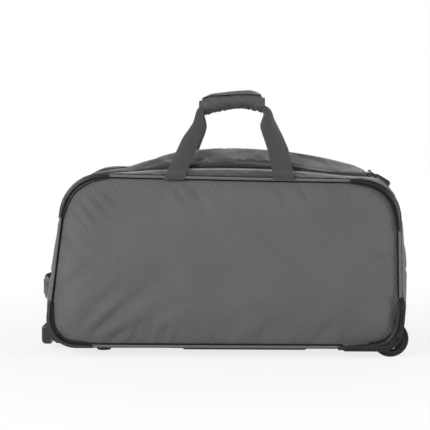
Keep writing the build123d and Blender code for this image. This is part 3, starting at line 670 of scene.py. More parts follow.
# %% Band panels
base_seam_z, end_seam_z, top_seam_z = (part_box(n)[1].z for n in ("base_panel", "wheel_end_lower_panel",
                                                                "wheel_end_upper_panel"))
cloth_spacing = 6 * MM
rim_y = half_depth - 0.3 * MM
cross_seams = {"wheel": [seam_at(WHEELWARD, z=z) for z in (base_seam_z, end_seam_z, top_seam_z)],
               "handle": [seam_at(HANDLEWARD, z=z) for z in (base_seam_z, end_seam_z, top_seam_z)]}
every_cross_seam = np.array(cross_seams["wheel"] + cross_seams["handle"])
axle_low, axle_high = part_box("front_wheel_axle")
wheel_x, wheel_z = (axle_low.x + axle_high.x) / 2, (axle_low.z + axle_high.z) / 2
arch_room = 41.3 * MM
arch_inner_y = 116.9 * MM
socket_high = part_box("trolley_socket")[1]


def seam_dip(s, depth=1.5 * MM, width=3 * MM):
    """How far the cloth is pulled down beside the cross seams."""
    gap = seam_gap(s[..., None], every_cross_seam).min(axis=-1)
    return -depth * np.exp(-(gap / width) ** 2)


def band_place(amount, seed):
    """A placing function for the band, with soft lumps of that height."""
    def place(s, y, rim):
        settle = np.clip(1 - (np.abs(y) / half_depth) ** 6, 0, 1)
        lumps = ripple(np.stack([s, y, 0 * s], 1), 75 * MM, amount, seed)
        lumps += ripple(np.stack([s, y * 0.5, 0 * s], 1), 26 * MM, amount * 0.35, seed + 3)
        return skin(s, y, seam_dip(s) + lumps * settle - 0.2 * MM)
    return place


def arch_spans():
    """Distances along the seam where the wheel arch cuts into the band."""
    near = np.hypot(seam_xz[:, 0] - wheel_x, seam_xz[:, 1] - wheel_z) < arch_room
    hits = np.nonzero(near)[0] * seam_length / seam_count
    return float(hits.min()), float(hits.max())


arch_from, arch_to = arch_spans()
socket_from = seam_at(DOWN, x=socket_high.x + 0.5 * MM) - seam_length
socket_to = seam_at(HANDLEWARD, z=socket_high.z + 0.5 * MM) - seam_length
socket_half = socket_high.y + 0.4 * MM
wheel_cuts, handle_cuts = cross_seams["wheel"], [s - seam_length for s in cross_seams["handle"]]
arch_end = min(arch_to, wheel_cuts[0])
half_base = [(handle_cuts[0], -rim_y), (arch_from, -rim_y), (arch_from, -arch_inner_y),
             (arch_end, -arch_inner_y), (arch_end, -rim_y), (wheel_cuts[0], -rim_y)]
base_loop = half_base + [(s, -y) for s, y in reversed(half_base)]
socket_loop = [(socket_to, -socket_half), (socket_from, -socket_half), (socket_from, socket_half),
               (socket_to, socket_half)]
print("arch spans", round(arch_from, 3), round(arch_to, 3), "base seam", round(wheel_cuts[0], 3))


def strip_loop(a, b):
    """The outline of the whole band between two distances along the seam."""
    return [(a, -rim_y), (b, -rim_y), (b, rim_y), (a, rim_y)]


band_panels = [("base_cloth", "base_panel", [base_loop, socket_loop], 0.8),
               ("wheel_end_low_cloth", "wheel_end_lower_panel", [strip_loop(*wheel_cuts[:2])], 1.6),
               ("wheel_end_high_cloth", "wheel_end_upper_panel", [strip_loop(*wheel_cuts[1:])], 1.8),
               ("handle_end_low_cloth", "handle_end_lower_panel", [strip_loop(*handle_cuts[1::-1])], 1.6),
               ("handle_end_high_cloth", "handle_end_upper_panel", [strip_loop(*handle_cuts[:0:-1])], 1.8)]
for seed, (name, node, loops, lumps) in enumerate(band_panels, start=1):
    panel = patch(name, loops, cloth_spacing, band_place(lumps * MM, seed))
    stuffed(panel, 4 * MM, 1.2, 0.012, 3.2 * MM, frames=14)
    placed(lined(panel, 1.6 * MM, gusset_cloth), "bag", [node])

# %% [markdown]
# ## Where the zip runs
# The zip is a U: it starts at the rear of one end, turns round a wide front corner, runs along the front and comes
# back. Every strip that belongs to it is the same U at another distance inside the opening, so one function gives
# the line at any inset. Points of the line are known from above, and the skin is known by distance along the
# seam, so a small look-up turns one into the other.

# %% Zip track
opening_low, opening_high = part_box("zip_frame_tape")
opening_left, opening_right = opening_low.x - 0.3 * MM, opening_high.x + 0.3 * MM
opening_front, opening_rear = opening_low.y - 0.3 * MM, opening_high.y
opening_corner = 70 * MM
side_steps, turn_steps, front_steps = 26, 14, 60


def track(inset, rear=None):
    """The U at one inset, seen from above, from the rear of the wheel end round to the rear of the handle end."""
    rear = opening_rear if rear is None else rear
    left, right, front = opening_left + inset, opening_right - inset, opening_front + inset
    radius = opening_corner - inset
    points = [(right, y) for y in np.linspace(rear, front + radius, side_steps, endpoint=False)]
    points += [(right - radius + radius * math.cos(a), front + radius - radius * math.sin(a))
               for a in np.linspace(0, math.pi / 2, turn_steps, endpoint=False)]
    points += [(x, front) for x in np.linspace(right - radius, left + radius, front_steps, endpoint=False)]
    points += [(left + radius - radius * math.sin(a), front + radius - radius * math.cos(a))
               for a in np.linspace(0, math.pi / 2, turn_steps, endpoint=False)]
    points += [(left, y) for y in np.linspace(front + radius, rear, side_steps)]
    return np.array(points)


top_s = np.linspace(wheel_cuts[2] - 20 * MM, handle_cuts[2] + seam_length + 20 * MM, 420)


def from_above(points):
    """Distance along the seam, for points seen from above on the top of the bag."""
    points = np.asarray(points, float)
    found = np.zeros(len(points))
    for k, (x, y) in enumerate(points):
        row = skin_base(top_s, np.full(len(top_s), y))[:, 0]
        found[k] = np.interp(-x, -row, top_s)
    return found


def strip_on_skin(name, insets, lifts, rear=None):
    """A strip along the zip: one row of points for each inset, lifted off the skin."""
    rows = []
    for inset, lift in zip(insets, lifts):
        points = track(inset, rear)
        rows.append(skin(from_above(points), points[:, 1], lift))
    count = len(rows[0])
    run = run_length(rows[0])
    corners = np.concatenate(rows)
    cloth = np.concatenate([np.stack([run, np.full(count, inset)], 1) for inset in insets])
    return new_piece(name, corners, grid_faces(len(rows), count), cloth)


# %% Top of the band, with the opening
top_loop = strip_loop(wheel_cuts[2], handle_cuts[2] + seam_length)
mouth = track(0)
mouth_loop = list(zip(from_above(mouth), mouth[:, 1]))


def top_place(s, y, rim):
    """The band's skin, folded up to a raised edge beside the zip."""
    to_mouth = edge_distance(np.stack([s, y], 1), [mouth_loop])
    hinge_side = y > opening_rear - 1 * MM
    fold = np.exp(-(to_mouth / (4.5 * MM)) ** 2) * 1.5 * MM * ~hinge_side
    return band_place(1.3 * MM, 6)(s, y, rim) + skin_normal(s, y) * fold[:, None]


top_cloth = patch("top_cloth", [top_loop, mouth_loop], cloth_spacing, top_place)
stuffed(top_cloth, 5 * MM, 1.0, 0.010, 2.4 * MM, frames=12)
lined(top_cloth, 1.7 * MM, top_band_cloth)
placed(top_cloth, "bag", ["top_panel"])

# %% Zip tapes
frame_tape = strip_on_skin("zip_tape_frame", [-3 * MM, 0.5 * MM, 3 * MM, 6.5 * MM, 9 * MM],
                           [-1.2 * MM, -0.9 * MM, -0.6 * MM, -0.5 * MM, -0.4 * MM])
lid_tape = strip_on_skin("zip_tape_lid", [17.9 * MM, 20.5 * MM, 23.5 * MM, 26.8 * MM],
                         [-0.4 * MM, -0.5 * MM, -0.7 * MM, -1.2 * MM], rear=opening_rear - 1 * MM)
for tape, body, node in ((frame_tape, "bag", "zip_frame_tape"), (lid_tape, "lid", "zip_lid_tape")):
    thickened(tape, 0.9 * MM, tape_cloth)
    placed(tape, body, [node])

# %% [markdown]
# ## The coil
# A coil zip is one nylon monofilament wound into flat loops. Modelled as a strip it looks like a ribbon, so each
# loop is its own little arch across the track, one after another at the coil's real pitch. They are short tubes
# with few sides, since each is under two millimetres long.

# %% Coil loops
def arches(name, places, across, up, half_width, height, thick, sides=5, bends=6):
    """Many small arched tubes in one mesh: one per place, across the track."""
    corners, faces = [], []
    for place, side_way, up_way in zip(places, across, up):
        along = np.cross(side_way, up_way)
        start = len(corners)
        for b in range(bends + 1):
            a = math.pi * b / bends
            centre = place - side_way * half_width * math.cos(a) + up_way * height * math.sin(a)
            out = -side_way * math.cos(a) + up_way * math.sin(a)
            for k in range(sides):
                t = 2 * math.pi * k / sides
                corners.append(centre + (out * math.cos(t) * 0.8 + along * math.sin(t)) * thick)
        faces += grid_faces(bends + 1, sides, ring=True, start=start)
    return new_piece(name, corners, faces, np.zeros((len(corners), 2)))


coil_length, coil_pitch, coil_inset = 1.03, 1.7 * MM, 12.35 * MM
coil_line = track(coil_inset)
coil_skin = skin(from_above(coil_line), coil_line[:, 1])
coil_places, _ = evenly(np.concatenate([coil_skin, coil_line], 1), int(coil_length / coil_pitch))
coil_s = from_above(coil_places[:, 3:5])
coil_up = skin_normal(coil_s, coil_places[:, 4])
coil_along = unit(np.gradient(coil_places[:, :3], axis=0))
coil = arches("zip_coil_loops", coil_places[:, :3] - coil_up * 0.9 * MM, np.cross(coil_up, coil_along), coil_up,
              2.9 * MM, 1.5 * MM, 0.62 * MM)
finish_of(coil, coil_nylon)
placed(coil, "bag", ["zip_coil"])
print("coil loops", len(coil_places))

# %% [markdown]
# ## The lid
# The lid is a padded piece that ends in a soft roll over the zip, and that roll throws the dark line along the
# front of the opening. It is drawn as a patch a little larger than its pad. Its rim turns down by a rounded
# profile, and the cloth is simulated between the rims so that it puckers at the ends. Its hinge is a strip of
# plain cloth along the rear, between the lid and the band.

# %% Padded lid
lid_inset, lid_rear = 19.5 * MM, opening_rear - 3 * MM
lid_edge_points = track(lid_inset, lid_rear)
lid_loop = list(zip(from_above(lid_edge_points), lid_edge_points[:, 1]))
lid_end_s = max(s for s, y in lid_loop)
lid_roll, lid_rise, lid_end_drop = 8 * MM, 2.6 * MM, 2.4 * MM


def lid_place(s, y, rim):
    """A rounded roll along the rim that swells to the pad's height, and soft lumps over the pad."""
    share = np.clip(rim / lid_roll, 0, 1)
    profile = np.sqrt(np.clip(1 - (1 - share) ** 2, 0, 1))
    profile = profile * np.clip((lid_end_s - s) / (90 * MM), 0.1, 1)
    groove = 1.3 * MM * np.exp(-((rim - 15 * MM) / (2.2 * MM)) ** 2)
    lumps = ripple(np.stack([s, y, 0 * s], 1), 60 * MM, 1.3 * MM, 11) * np.clip(rim / (30 * MM), 0, 1)
    end_drop = lid_end_drop * np.exp(-((lid_end_s - s) / (45 * MM)) ** 2)
    return skin(s, y, -1.2 * MM + (lid_rise - 0.8 * MM) * profile - groove + lumps - end_drop)


lid = patch("lid_pad", [lid_loop], cloth_spacing * 0.85, lid_place)
stuffed(lid, 2 * MM, 2.0, 0.018, 3.4 * MM, frames=16, bending=2.0)
lined(lid, 3.4 * MM, lid_cloth)
placed(lid, "lid", ["lid_panel"])

# %% Cloth hinge
hinge_x = np.linspace(opening_left + 12 * MM, opening_right - 12 * MM, 90)
hinge_y = np.linspace(lid_rear - 4 * MM, opening_rear + 5 * MM, 12)
hinge_grid = np.array([(x, y) for y in hinge_y for x in hinge_x])
hinge_rise = np.interp(hinge_grid[:, 1], [hinge_y[0], lid_rear + 1 * MM, opening_rear + 1 * MM, hinge_y[-1]],
                       [3.6 * MM, 2.6 * MM, 1.2 * MM, 0.4 * MM])
hinge_corners = skin(from_above(hinge_grid), hinge_grid[:, 1], hinge_rise)
hinge_faces = grid_faces(len(hinge_y), len(hinge_x))
hinge = thickened(new_piece("lid_hinge_cloth", hinge_corners, hinge_faces, hinge_grid), 0.9 * MM, top_band_cloth)
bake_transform(hinge)

# %% [markdown]
# ## Front and rear panels
# The two large faces are one cut of cloth each, sewn into the piping and pushed out by the load. The face starts
# flat under the piping, rises just inside it and then flattens; beside the wheel housing it stays flat for longer,
# so that it lies under the housing's plate. Over that come the soft diagonal folds of cloth that hangs from its
# upper corners, deepest low down near the handle end. The simulation adds the small puckers along the seams.

# %% Panels
face_y = half_depth + 2.0 * MM
panel_inset, housing_tuck = 4.6 * MM, 0.8 * MM
panel_bulge, plate_cover = 14.5 * MM, 7 * MM
housing_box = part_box("front_wheel_housing")


def seam_loop(inset, step=6 * MM):
    """The outline, moved inward."""
    count = int(seam_length / step)
    place, outward = on_seam(np.arange(count) * seam_length / count)
    return [tuple(p - n * inset) for p, n in zip(place, outward)]


def panel_loop():
    """The panel's edge: inside the piping, but nearly out to the seam where the wheel housing covers it."""
    near = seam_loop(housing_tuck)
    far = seam_loop(panel_inset)
    return [a if a[0] > housing_box[0].x + 6 * MM and a[1] < housing_box[1].z - 6 * MM else b
            for a, b in zip(near, far)]


fold_depth = 3.2


def creases(x, z):
    """Soft folds: each has a start, an end, a width and a depth, all in millimetres."""
    folds = [(-275, 60, -170, 150, 13, -1.5), (-250, 40, -190, 92, 8, -1.9), (-215, 30, -165, 62, 7, -1.7),
             (-205, 80, -120, 170, 16, -1.1), (-175, 34, -150, 70, 7, -1.3), (-120, 30, -100, 62, 8, -0.9),
             (-60, 305, -30, 262, 12, -0.9), (-20, 310, 10, 270, 12, -0.8), (150, 300, 190, 262, 13, -0.9),
             (225, 306, 240, 284, 7, -1.0), (262, 290, 235, 250, 10, -0.8), (60, 30, 90, 60, 10, -0.8),
             (170, 34, 205, 66, 10, -0.8), (-300, 220, -262, 200, 10, -1.0), (305, 190, 268, 180, 9, -0.9),
             (-268, 296, -226, 246, 6, -1.0), (-250, 306, -206, 262, 6, -1.2), (-228, 316, -190, 276, 6, -1.0),
             (-282, 278, -246, 238, 5, -0.8), (-96, 318, -62, 282, 7, -1.3), (-74, 322, -34, 292, 6, -1.2),
             (-44, 322, -12, 296, 6, -0.9), (96, 318, 118, 288, 7, -0.9), (130, 322, 162, 286, 7, -1.0),
             (-230, 62, -120, 140, 12, -1.3), (-160, 50, -70, 112, 11, -0.9), (-20, 40, 60, 92, 14, -0.7),
             (90, 44, 190, 112, 15, -0.7), (-310, 120, -240, 176, 12, -0.8)]
    total = np.zeros(len(x))
    for x0, z0, x1, z1, width, depth in folds:
        a, b = np.array([x0, z0]) * MM, np.array([x1, z1]) * MM
        d = b - a
        p = np.stack([x, z], 1) - a
        t = np.clip((p @ d) / (d @ d), 0, 1)
        gap = np.linalg.norm(p - t[:, None] * d, axis=1)
        fade = np.sin(np.pi * np.clip(t, 0.02, 0.98)) ** 0.6
        total += fold_depth * depth * MM * fade * np.exp(-(gap / (width * MM)) ** 2)
        total -= 0.45 * fold_depth * depth * MM * fade * np.exp(-((gap - 1.6 * width * MM) / (width * MM)) ** 2)
    return total


def face_panel(name, side, seed):
    """One large face, built, stuffed and lined."""

    def place(x, z, rim):
        hidden = np.where((x > housing_box[0].x) & (z < housing_box[1].z), plate_cover, 0.0)
        flat = np.clip((rim - 3.5 * MM - hidden) / (68 * MM), 0, 1)
        swell = panel_bulge * (1 - (1 - flat) ** 1.8)
        lumps = ripple(np.stack([x, z, 0 * x], 1), 90 * MM, 2.4 * MM, seed) * np.clip(rim / (50 * MM), 0, 1)
        lumps += ripple(np.stack([x * 0.7 + z * 0.7, (z - x) * 0.3, 0 * x], 1), 30 * MM, 0.9 * MM,
                        seed + 5) * np.clip(rim / (30 * MM), 0, 1)
        if side == FRONT:
            lumps += creases(x, z) * np.clip(rim / (12 * MM), 0, 1)
        else:
            lumps += creases(-x - 10 * MM, z) * 0.8 * np.clip(rim / (12 * MM), 0, 1)
        return np.stack([x, side * (face_y - 1.2 * MM + swell + lumps), z], 1)

    piece = patch(name, [panel_loop()], cloth_spacing * 0.95, place)
    if sum(p.normal.y for p in piece.data.polygons) * side < 0:
        piece.data.flip_normals()
    stuffed(piece, 3.2 * MM, 1.5, 0.011, 3.0 * MM, bending=4.0)
    lined(piece, 1.8 * MM, panel_cloth)
    return placed(piece, "bag", [f"{'front' if side == FRONT else 'rear'}_panel"])


for name, side in SIDES.items():
    face_panel(f"{name}_face_cloth", side, 20 + side)

# %% [markdown]
# ## Swept trims
# Piping, corner guards, webbing and binding are all one profile carried along a line. A curve with a bevel object
# could carry them, but it gives no control of how the profile faces the body. So a small function places the
# profile at each point of a line from three directions: along, out and across. It also lets a width or a height
# change on the way, which tapers zip pulls and ribs to their ends. The panel's edge is covered three times: by
# the piping, by a near-black strip beside it that is painted shade in the seam's groove, and from inside by a
# binding tape that closes the seam.

# %% Sweep
def sweep(name, centres, outs, profile, scales=None, closed=False):
    """Carries a closed profile of (out, across) pairs along a line."""
    centres, outs = np.asarray(centres, float), np.asarray(outs, float)
    along = np.gradient(centres, axis=0)
    if closed:
        along = np.roll(centres, -1, 0) - np.roll(centres, 1, 0)
    across = unit(np.cross(unit(along), outs))
    scales = np.ones((len(centres), 2)) if scales is None else np.asarray(scales, float)
    count, sides = len(centres), len(profile)
    corners = [c + o * p[0] * k[0] + a * p[1] * k[1]
               for c, o, a, k in zip(centres, outs, across, scales) for p in profile]
    faces = grid_faces(count, sides, ring=True, loop=closed)
    if not closed:
        faces += [tuple(range(sides))[::-1], tuple((count - 1) * sides + k for k in range(sides))]
    cloth = [(u, v) for u in run_length(centres) for v in run_length(np.array(profile))]
    piece = new_piece(name, corners, faces, cloth)
    if sum(p.normal.dot(p.center - Vector(corners[0])) for p in piece.data.polygons[:sides]) < 0:
        piece.data.flip_normals()
    return piece


def circle_profile(radius, sides=14):
    return [(radius * math.cos(2 * math.pi * k / sides), radius * math.sin(2 * math.pi * k / sides))
            for k in range(sides)]


def joined(name, pieces):
    """One object from several, with their first one's finish order kept."""
    with bpy.context.temp_override(active_object=pieces[0], object=pieces[0], selected_objects=pieces,
                                   selected_editable_objects=pieces):
        bpy.ops.object.join()
    pieces[0].name = pieces[0].data.name = name
    return pieces[0]


def stitches(name, points, ups, pitch=3.4 * MM, length=2.3 * MM, radius=0.32 * MM, lift=0.1 * MM, colour=None):
    """A row of sewn stitches along a line: small capsules with their ends pulled into the cloth."""
    points, ups = np.asarray(points, float), np.asarray(ups, float)
    both, _ = evenly(np.concatenate([points, ups], 1), max(3, int(run_length(points)[-1] / pitch)))
    corners, faces = [], []
    ways = unit(np.gradient(both[:, :3], axis=0))
    for row, way in zip(both, ways):
        up = row[3:6] / np.linalg.norm(row[3:6])
        across = np.cross(way, up)
        start = len(corners)
        for along, size, sink in ((-0.5, 0.35, -0.5), (-0.3, 1.0, 0.2), (0.3, 1.0, 0.2), (0.5, 0.35, -0.5)):
            centre = row[:3] + way * along * length + up * (lift + sink * radius)
            for k in range(5):
                a = 2 * math.pi * k / 5
                corners.append(centre + (across * math.cos(a) + up * math.sin(a)) * radius * size)
        faces += grid_faces(4, 5, ring=True, start=start)
    return finish_of(new_piece(name, corners, faces, np.zeros((len(corners), 2))), colour or thread)


def skin_thread(name, s, y, lift):
    """A row of stitches laid on the band."""
    return stitches(name, skin(s, y, lift), skin_normal(s, y))


# %% Piping
piping_radius = 2.5 * MM
piping_y = -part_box("front_piping")[0].y - 1.2 * MM - piping_radius
groove_inset, binding_inset = 6.2 * MM, 7.0 * MM
guard_span = {}
for corner, (facing_a, key_a), (facing_b, key_b) in (
        ("top_wheel_end", (WHEELWARD, "low_z"), (UP, "low_x")),
        ("top_handle_end", (UP, "high_x"), (HANDLEWARD, "low_z")),
        ("low_handle_end", (HANDLEWARD, "high_z"), (DOWN, "high_x"))):
    low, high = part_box(f"front_{corner}_guard")
    values = {"low_x": low.x, "high_x": high.x, "low_z": low.z, "high_z": high.z}
    ends = [seam_at(f, **{k[-1]: values[k]}) for f, k in ((facing_a, key_a), (facing_b, key_b))]
    guard_span[corner] = (ends[0], ends[1] if ends[1] > ends[0] else ends[1] + seam_length)
housing_span = (seam_at(DOWN, x=housing_box[0].x), seam_at(WHEELWARD, z=housing_box[1].z))
piping_runs = [(housing_span[1], guard_span["top_wheel_end"][0]),
               (guard_span["top_wheel_end"][1], guard_span["top_handle_end"][0]),
               (guard_span["top_handle_end"][1], guard_span["low_handle_end"][0]),
               (guard_span["low_handle_end"][1], housing_span[0] + seam_length)]


def trim_line(start, end, inset, y, step=4 * MM):
    """A line beside the seam: its points, and the direction that faces out of the bag's outline."""
    s = np.linspace(start, end, max(4, int((end - start) / step)))
    place, outward = on_seam(s)
    place = place - outward * inset
    points = np.stack([place[:, 0], np.full(len(s), y), place[:, 1]], 1)
    return s, points, np.stack([outward[:, 0], np.zeros(len(s)), outward[:, 1]], 1)


for name, side in SIDES.items():
    runs = []
    for k, (start, end) in enumerate(piping_runs):
        s, points, outs = trim_line(start - 3 * MM, end + 3 * MM, piping_radius + 0.1 * MM, side * piping_y)
        points[:, 1] += ripple(points, 45 * MM, 0.35 * MM, 31 + k)
        tube = sweep(f"{name}_piping_{k}", points, outs, circle_profile(piping_radius * 0.97))
        # The strip beside the piping is near-black painted shade for the seam's groove.
        s, points, outs = trim_line(start - 3 * MM, end + 3 * MM, groove_inset, side * face_y)
        groove = sweep(f"{name}_groove_{k}", points, outs, [(1.5 * MM, -0.7 * MM), (1.5 * MM, 0.7 * MM),
                                                          (-1.5 * MM, 0.7 * MM), (-1.5 * MM, -0.7 * MM)])
        runs += [finish_of(tube, piping_cloth), finish_of(groove, groove_cloth)]
    placed(joined(f"{name}_piping_cloth", runs), "bag", [f"{name}_piping"])

    s, points, outs = trim_line(0, seam_length, binding_inset, side * (face_y - 3.4 * MM))
    binding = sweep(f"{name}_seam_binding", points[:-1], outs[:-1],
                    [(binding_inset - 0.9 * MM, -0.6 * MM), (binding_inset - 0.9 * MM, 0.6 * MM),
                     (-binding_inset, 0.6 * MM), (-binding_inset, -0.6 * MM)], closed=True)
    placed(finish_of(binding, lining_cloth), "bag")

# %% [markdown]
# ## Corner guards
# Each corner is sewn into a moulded rubber strip. Its section has a rounded crest along the outline, a shallow
# channel inside it and a thin lip that the needle goes through. The strip thins to its ends, where it meets the
# piping. The stitches along the lip are the same thread as the rubber, and they show as a row of small pits and
# glints.

# %% Guards
guard_profile = [(0.2, -2.0), (1.2, 0.5), (1.6, 2.6), (1.2, 4.4), (0.2, 5.4), (-0.9, 5.3), (-1.7, 5.6), (-2.3, 7.2),
                 (-3.4, 8.2), (-4.8, 8.3), (-6.0, 7.6), (-6.7, 6.0), (-7.3, 3.6), (-8.3, 3.1), (-9.3, 3.6),
                 (-10.2, 4.9), (-11.3, 4.8), (-12.3, 3.2), (-12.2, 1.2), (-7.0, 0.2)]


def guard(name, side, start, end):
    """One rubber strip with its stitches, along the seam from start to end."""
    s, points, outs = trim_line(start, end, 0.0, side * (face_y + 0.15 * MM), 3 * MM)
    tip = np.clip(np.minimum(s - start, end - s) / (42 * MM), 0, 1)
    blunt = np.clip(np.minimum(s - start, end - s) / (2.5 * MM), 0, 1)
    width = (0.62 + 0.38 * np.sin(tip * math.pi / 2)) * (0.9 + 0.1 * np.sqrt(blunt))
    height = (0.80 + 0.20 * tip) * (0.86 + 0.14 * np.sqrt(blunt))
    corners, count, sides = [], len(points), len(guard_profile)
    for point, out, w, h in zip(points, outs, width, height):
        for reach, rise in guard_profile:
            corners.append(point + out * reach * MM * (w if reach < 0 else 1)
                           + np.array([0, side * rise * MM * h, 0]))
    faces = grid_faces(count, sides, ring=True)
    faces += [tuple(range(sides)), tuple((count - 1) * sides + k for k in reversed(range(sides)))]
    if side == REAR:
        faces = [tuple(reversed(f)) for f in faces]
    piece = new_piece(name, corners, faces, [(u, v) for u in s for v in range(sides)])
    finish_of(piece, guard_rubber)
    middle = slice(6, -6)
    lip = points[middle] - outs[middle] * (8.3 * MM * width[middle])[:, None]
    lip[:, 1] += side * 3.2 * MM * height[middle]
    row = stitches(name + "_thread", lip, np.tile([0, side, 0], (len(lip), 1)), colour=dark_thread)
    return joined(name, [piece, row])


for name, side in SIDES.items():
    for corner, (start, end) in guard_span.items():
        placed(guard(f"{name}_{corner}_rubber", side, start, end), "bag",
               [f"{name}_{corner}_guard"])

# %% [markdown]
# ## Carry handles
# Each handle is one length of webbing. It is flat where it is sewn over the piping, and it curls as it rises,
# because both of its edges are folded back to fit inside the grip. So the strap is a flat sheet whose section
# bends into an arc. The arc's length stays the width of the webbing, and its chord is what is seen from outside.
# A few stations up the strap give where its two edges are.

# %% Straps
record_joints = {j["name"]: j for j in frame["joints"]}
webbing_width, webbing_thick = 39 * MM, 2.2 * MM
grip_low, grip_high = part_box("front_grip_wrap")
grip_z = (grip_low.z + grip_high.z) / 2
strap_stations = {
    "handle_end": [(0, -110.5, -71.5), (30, -104, -66), (68, -93.4, -57.4), (95, -86, -50.2), (120, -78.3, -43.2),
                   (145, -68.5, -38.8), (160, -62.2, -39.4), (175, -57.5, -43.2), (190, -53, -44.5),
                   (200, -48, -40), (207, -38, -30)],
    "wheel_end": [(0, 92.5, 131.5), (30, 89, 127.6), (68, 83.3, 121.8), (95, 78, 115.2), (120, 72.2, 108.4),
                  (140, 68, 102.2), (155, 66.8, 98.2), (168, 69, 94.2), (184, 74, 88.6),
                  (197, 70, 82), (207, 54, 66)],
}


def eased(stations, count):
    """A smooth run through the stations (Catmull-Rom), at evenly spaced shares."""
    table = np.array(stations, float)
    padded = np.concatenate([[2 * table[0] - table[1]], table, [2 * table[-1] - table[-2]]])
    found = []
    for t in np.linspace(0, len(table) - 1.0001, count):
        k, f = int(t), t - int(t)
        p0, p1, p2, p3 = padded[k:k + 4]
        found.append(0.5 * (2 * p1 + (p2 - p0) * f + (2 * p0 - 5 * p1 + 4 * p2 - p3) * f ** 2
                            + (3 * p1 - p0 - 3 * p2 + p3) * f ** 3))
    return np.array(found)


def bend_for(share):
    """Half angle of an arc whose chord is that share of its length."""
    low, high = 1e-3, 2.9
    for _ in range(40):
        middle = (low + high) / 2
        low, high = (middle, high) if math.sin(middle) / middle > share else (low, middle)
    return (low + high) / 2


over_piping, drawn_rise = 2.6 * MM, 207.4 * MM


def strap(name, side, stations):
    """One side of a handle, from the piping up into the grip, with thread along both edges."""
    pivot = Vector(record_joints[f"{'front' if side == FRONT else 'rear'}_handle_drop"]["pos_m"])
    rising = Vector((0, side * 7 * MM - pivot.y, grip_z - pivot.z))
    up, rise_scale = rising.normalized(), rising.length / drawn_rise
    out = Vector((0, side * up.z, -side * up.y))
    rows = eased(stations, 56)
    lanes = np.linspace(-1, 1, 15)
    corners, cloth = [], []
    for rise, left, right in rows:
        bend = bend_for(min(0.999, max(0.12, (right - left) * MM / webbing_width)))
        radius = webbing_width / 2 / bend
        lean = math.sin(rise / 207 * math.pi) * 2.2 * MM + over_piping * math.exp(-((rise - 9) / 8) ** 2)
        for lane in lanes:
            x = (left + right) / 2 * MM + radius * math.sin(bend * lane)
            back = radius * (math.cos(bend * lane) - 1) + lean
            place = Vector((x, pivot.y, pivot.z)) + up * rise * MM * rise_scale
            corners.append(place + out * (back + webbing_thick / 2))
            cloth.append((rise * MM, lane * webbing_width / 2))
    sides = len(lanes)
    piece = new_piece(name, corners, grid_faces(len(rows), sides, flip=side == REAR), cloth)
    thickened(piece, webbing_thick, webbing_cloth, edge=0.7 * MM)
    flat = np.array([tuple(c) for c in corners]).reshape(len(rows), sides, 3)
    edges = []
    for lane in (1, sides - 2):
        line = flat[:44, lane] + np.array(out) * 0.15 * MM
        edges.append(stitches(f"{name}_edge_{lane}", line, np.tile(np.array(out), (len(line), 1)), pitch=3.0 * MM,
                              length=2.0 * MM, radius=0.22 * MM))
    return joined(name, [piece] + edges)


for name, side in SIDES.items():
    straps = [strap(f"{name}_strap_{end}", side, stations) for end, stations in strap_stations.items()]
    placed(joined(f"{name}_carry_webbing", straps), f"{name}_handle", [f"{name}_carry_handle"])

# %% [markdown]
# ## Where the straps are sewn down
# The end of each strap goes over the piping and is caught in the panel seam. The visible stub is the last of the
# webbing: it is held by one bar tack and turned in level with the piping. It belongs to the body, so that the
# handle above it can fall to the side.

# %% Strap stubs
strap_centres = [sum(stations[0][1:]) / 2 * MM for stations in strap_stations.values()]
stub_profile = [(3.4, 161.8), (2.2, 162.6), (1.0, 162.4), (0.2, 160.8), (0.0, 157.0)]
tack_rise, tack_y, tack_reach = 1.8 * MM, 162.9 * MM, 17 * MM


def stub(name, side, centre):
    """The sewn-down end of one strap. Its profile is height above the handle's pivot, then depth."""
    top = record_joints["front_handle_drop"]["pos_m"][2]
    lanes = np.linspace(-webbing_width / 2, webbing_width / 2, 9)
    line, _ = evenly(stub_profile, 12)
    corners = [(centre + lane, side * y * MM, top + z * MM) for z, y in line for lane in lanes]
    faces = grid_faces(len(line), len(lanes), flip=side == FRONT)
    piece = new_piece(name, corners, faces, [(z * MM, lane) for z, y in line for lane in lanes])
    thickened(piece, webbing_thick, webbing_cloth, edge=0.6 * MM)
    row = [(centre + x, side * tack_y, top + tack_rise) for x in np.linspace(-tack_reach, tack_reach, 8)]
    tack = stitches(f"{name}_tack", row, np.tile([0, side, 0], (len(row), 1)), pitch=2.4 * MM)
    return joined(name, [piece, tack])


for name, side in SIDES.items():
    stubs = [stub(f"{name}_stub_{k}", side, centre) for k, centre in enumerate(strap_centres)]
    placed(joined(f"{name}_strap_stubs", stubs), "bag", [f"{name}_strap_anchors"])

# %% [markdown]
# ## Grip wrap
# A padded wrap closes round both straps. It is fuller at its top, arched along its length by the pull of the
# straps, and its underside is drawn into short creases. It is built as two shells, one on each handle, so that
# the handles can part. A separate flap crosses the top and ends in a free edge on the front, where it throws a
# shadow, and a bound hem runs round each end.

# %% Wrap
wrap_stations = [(-48.5, 461.5, 12.6, 14.2), (-44, 463.6, 15.6, 16.4), (-28, 469.2, 17.8, 18.5),
                 (-8, 473.2, 16.6, 19.0), (12, 476.0, 16.2, 19.2), (32, 477.2, 16.5, 19.2), (48, 476.4, 17.6, 19.0),
                 (62, 472.6, 17.2, 18.6), (69, 469.2, 15.2, 17.0), (72.5, 467.8, 12.4, 14.6)]
wrap_rows, wrap_radius = 70, 18 * MM


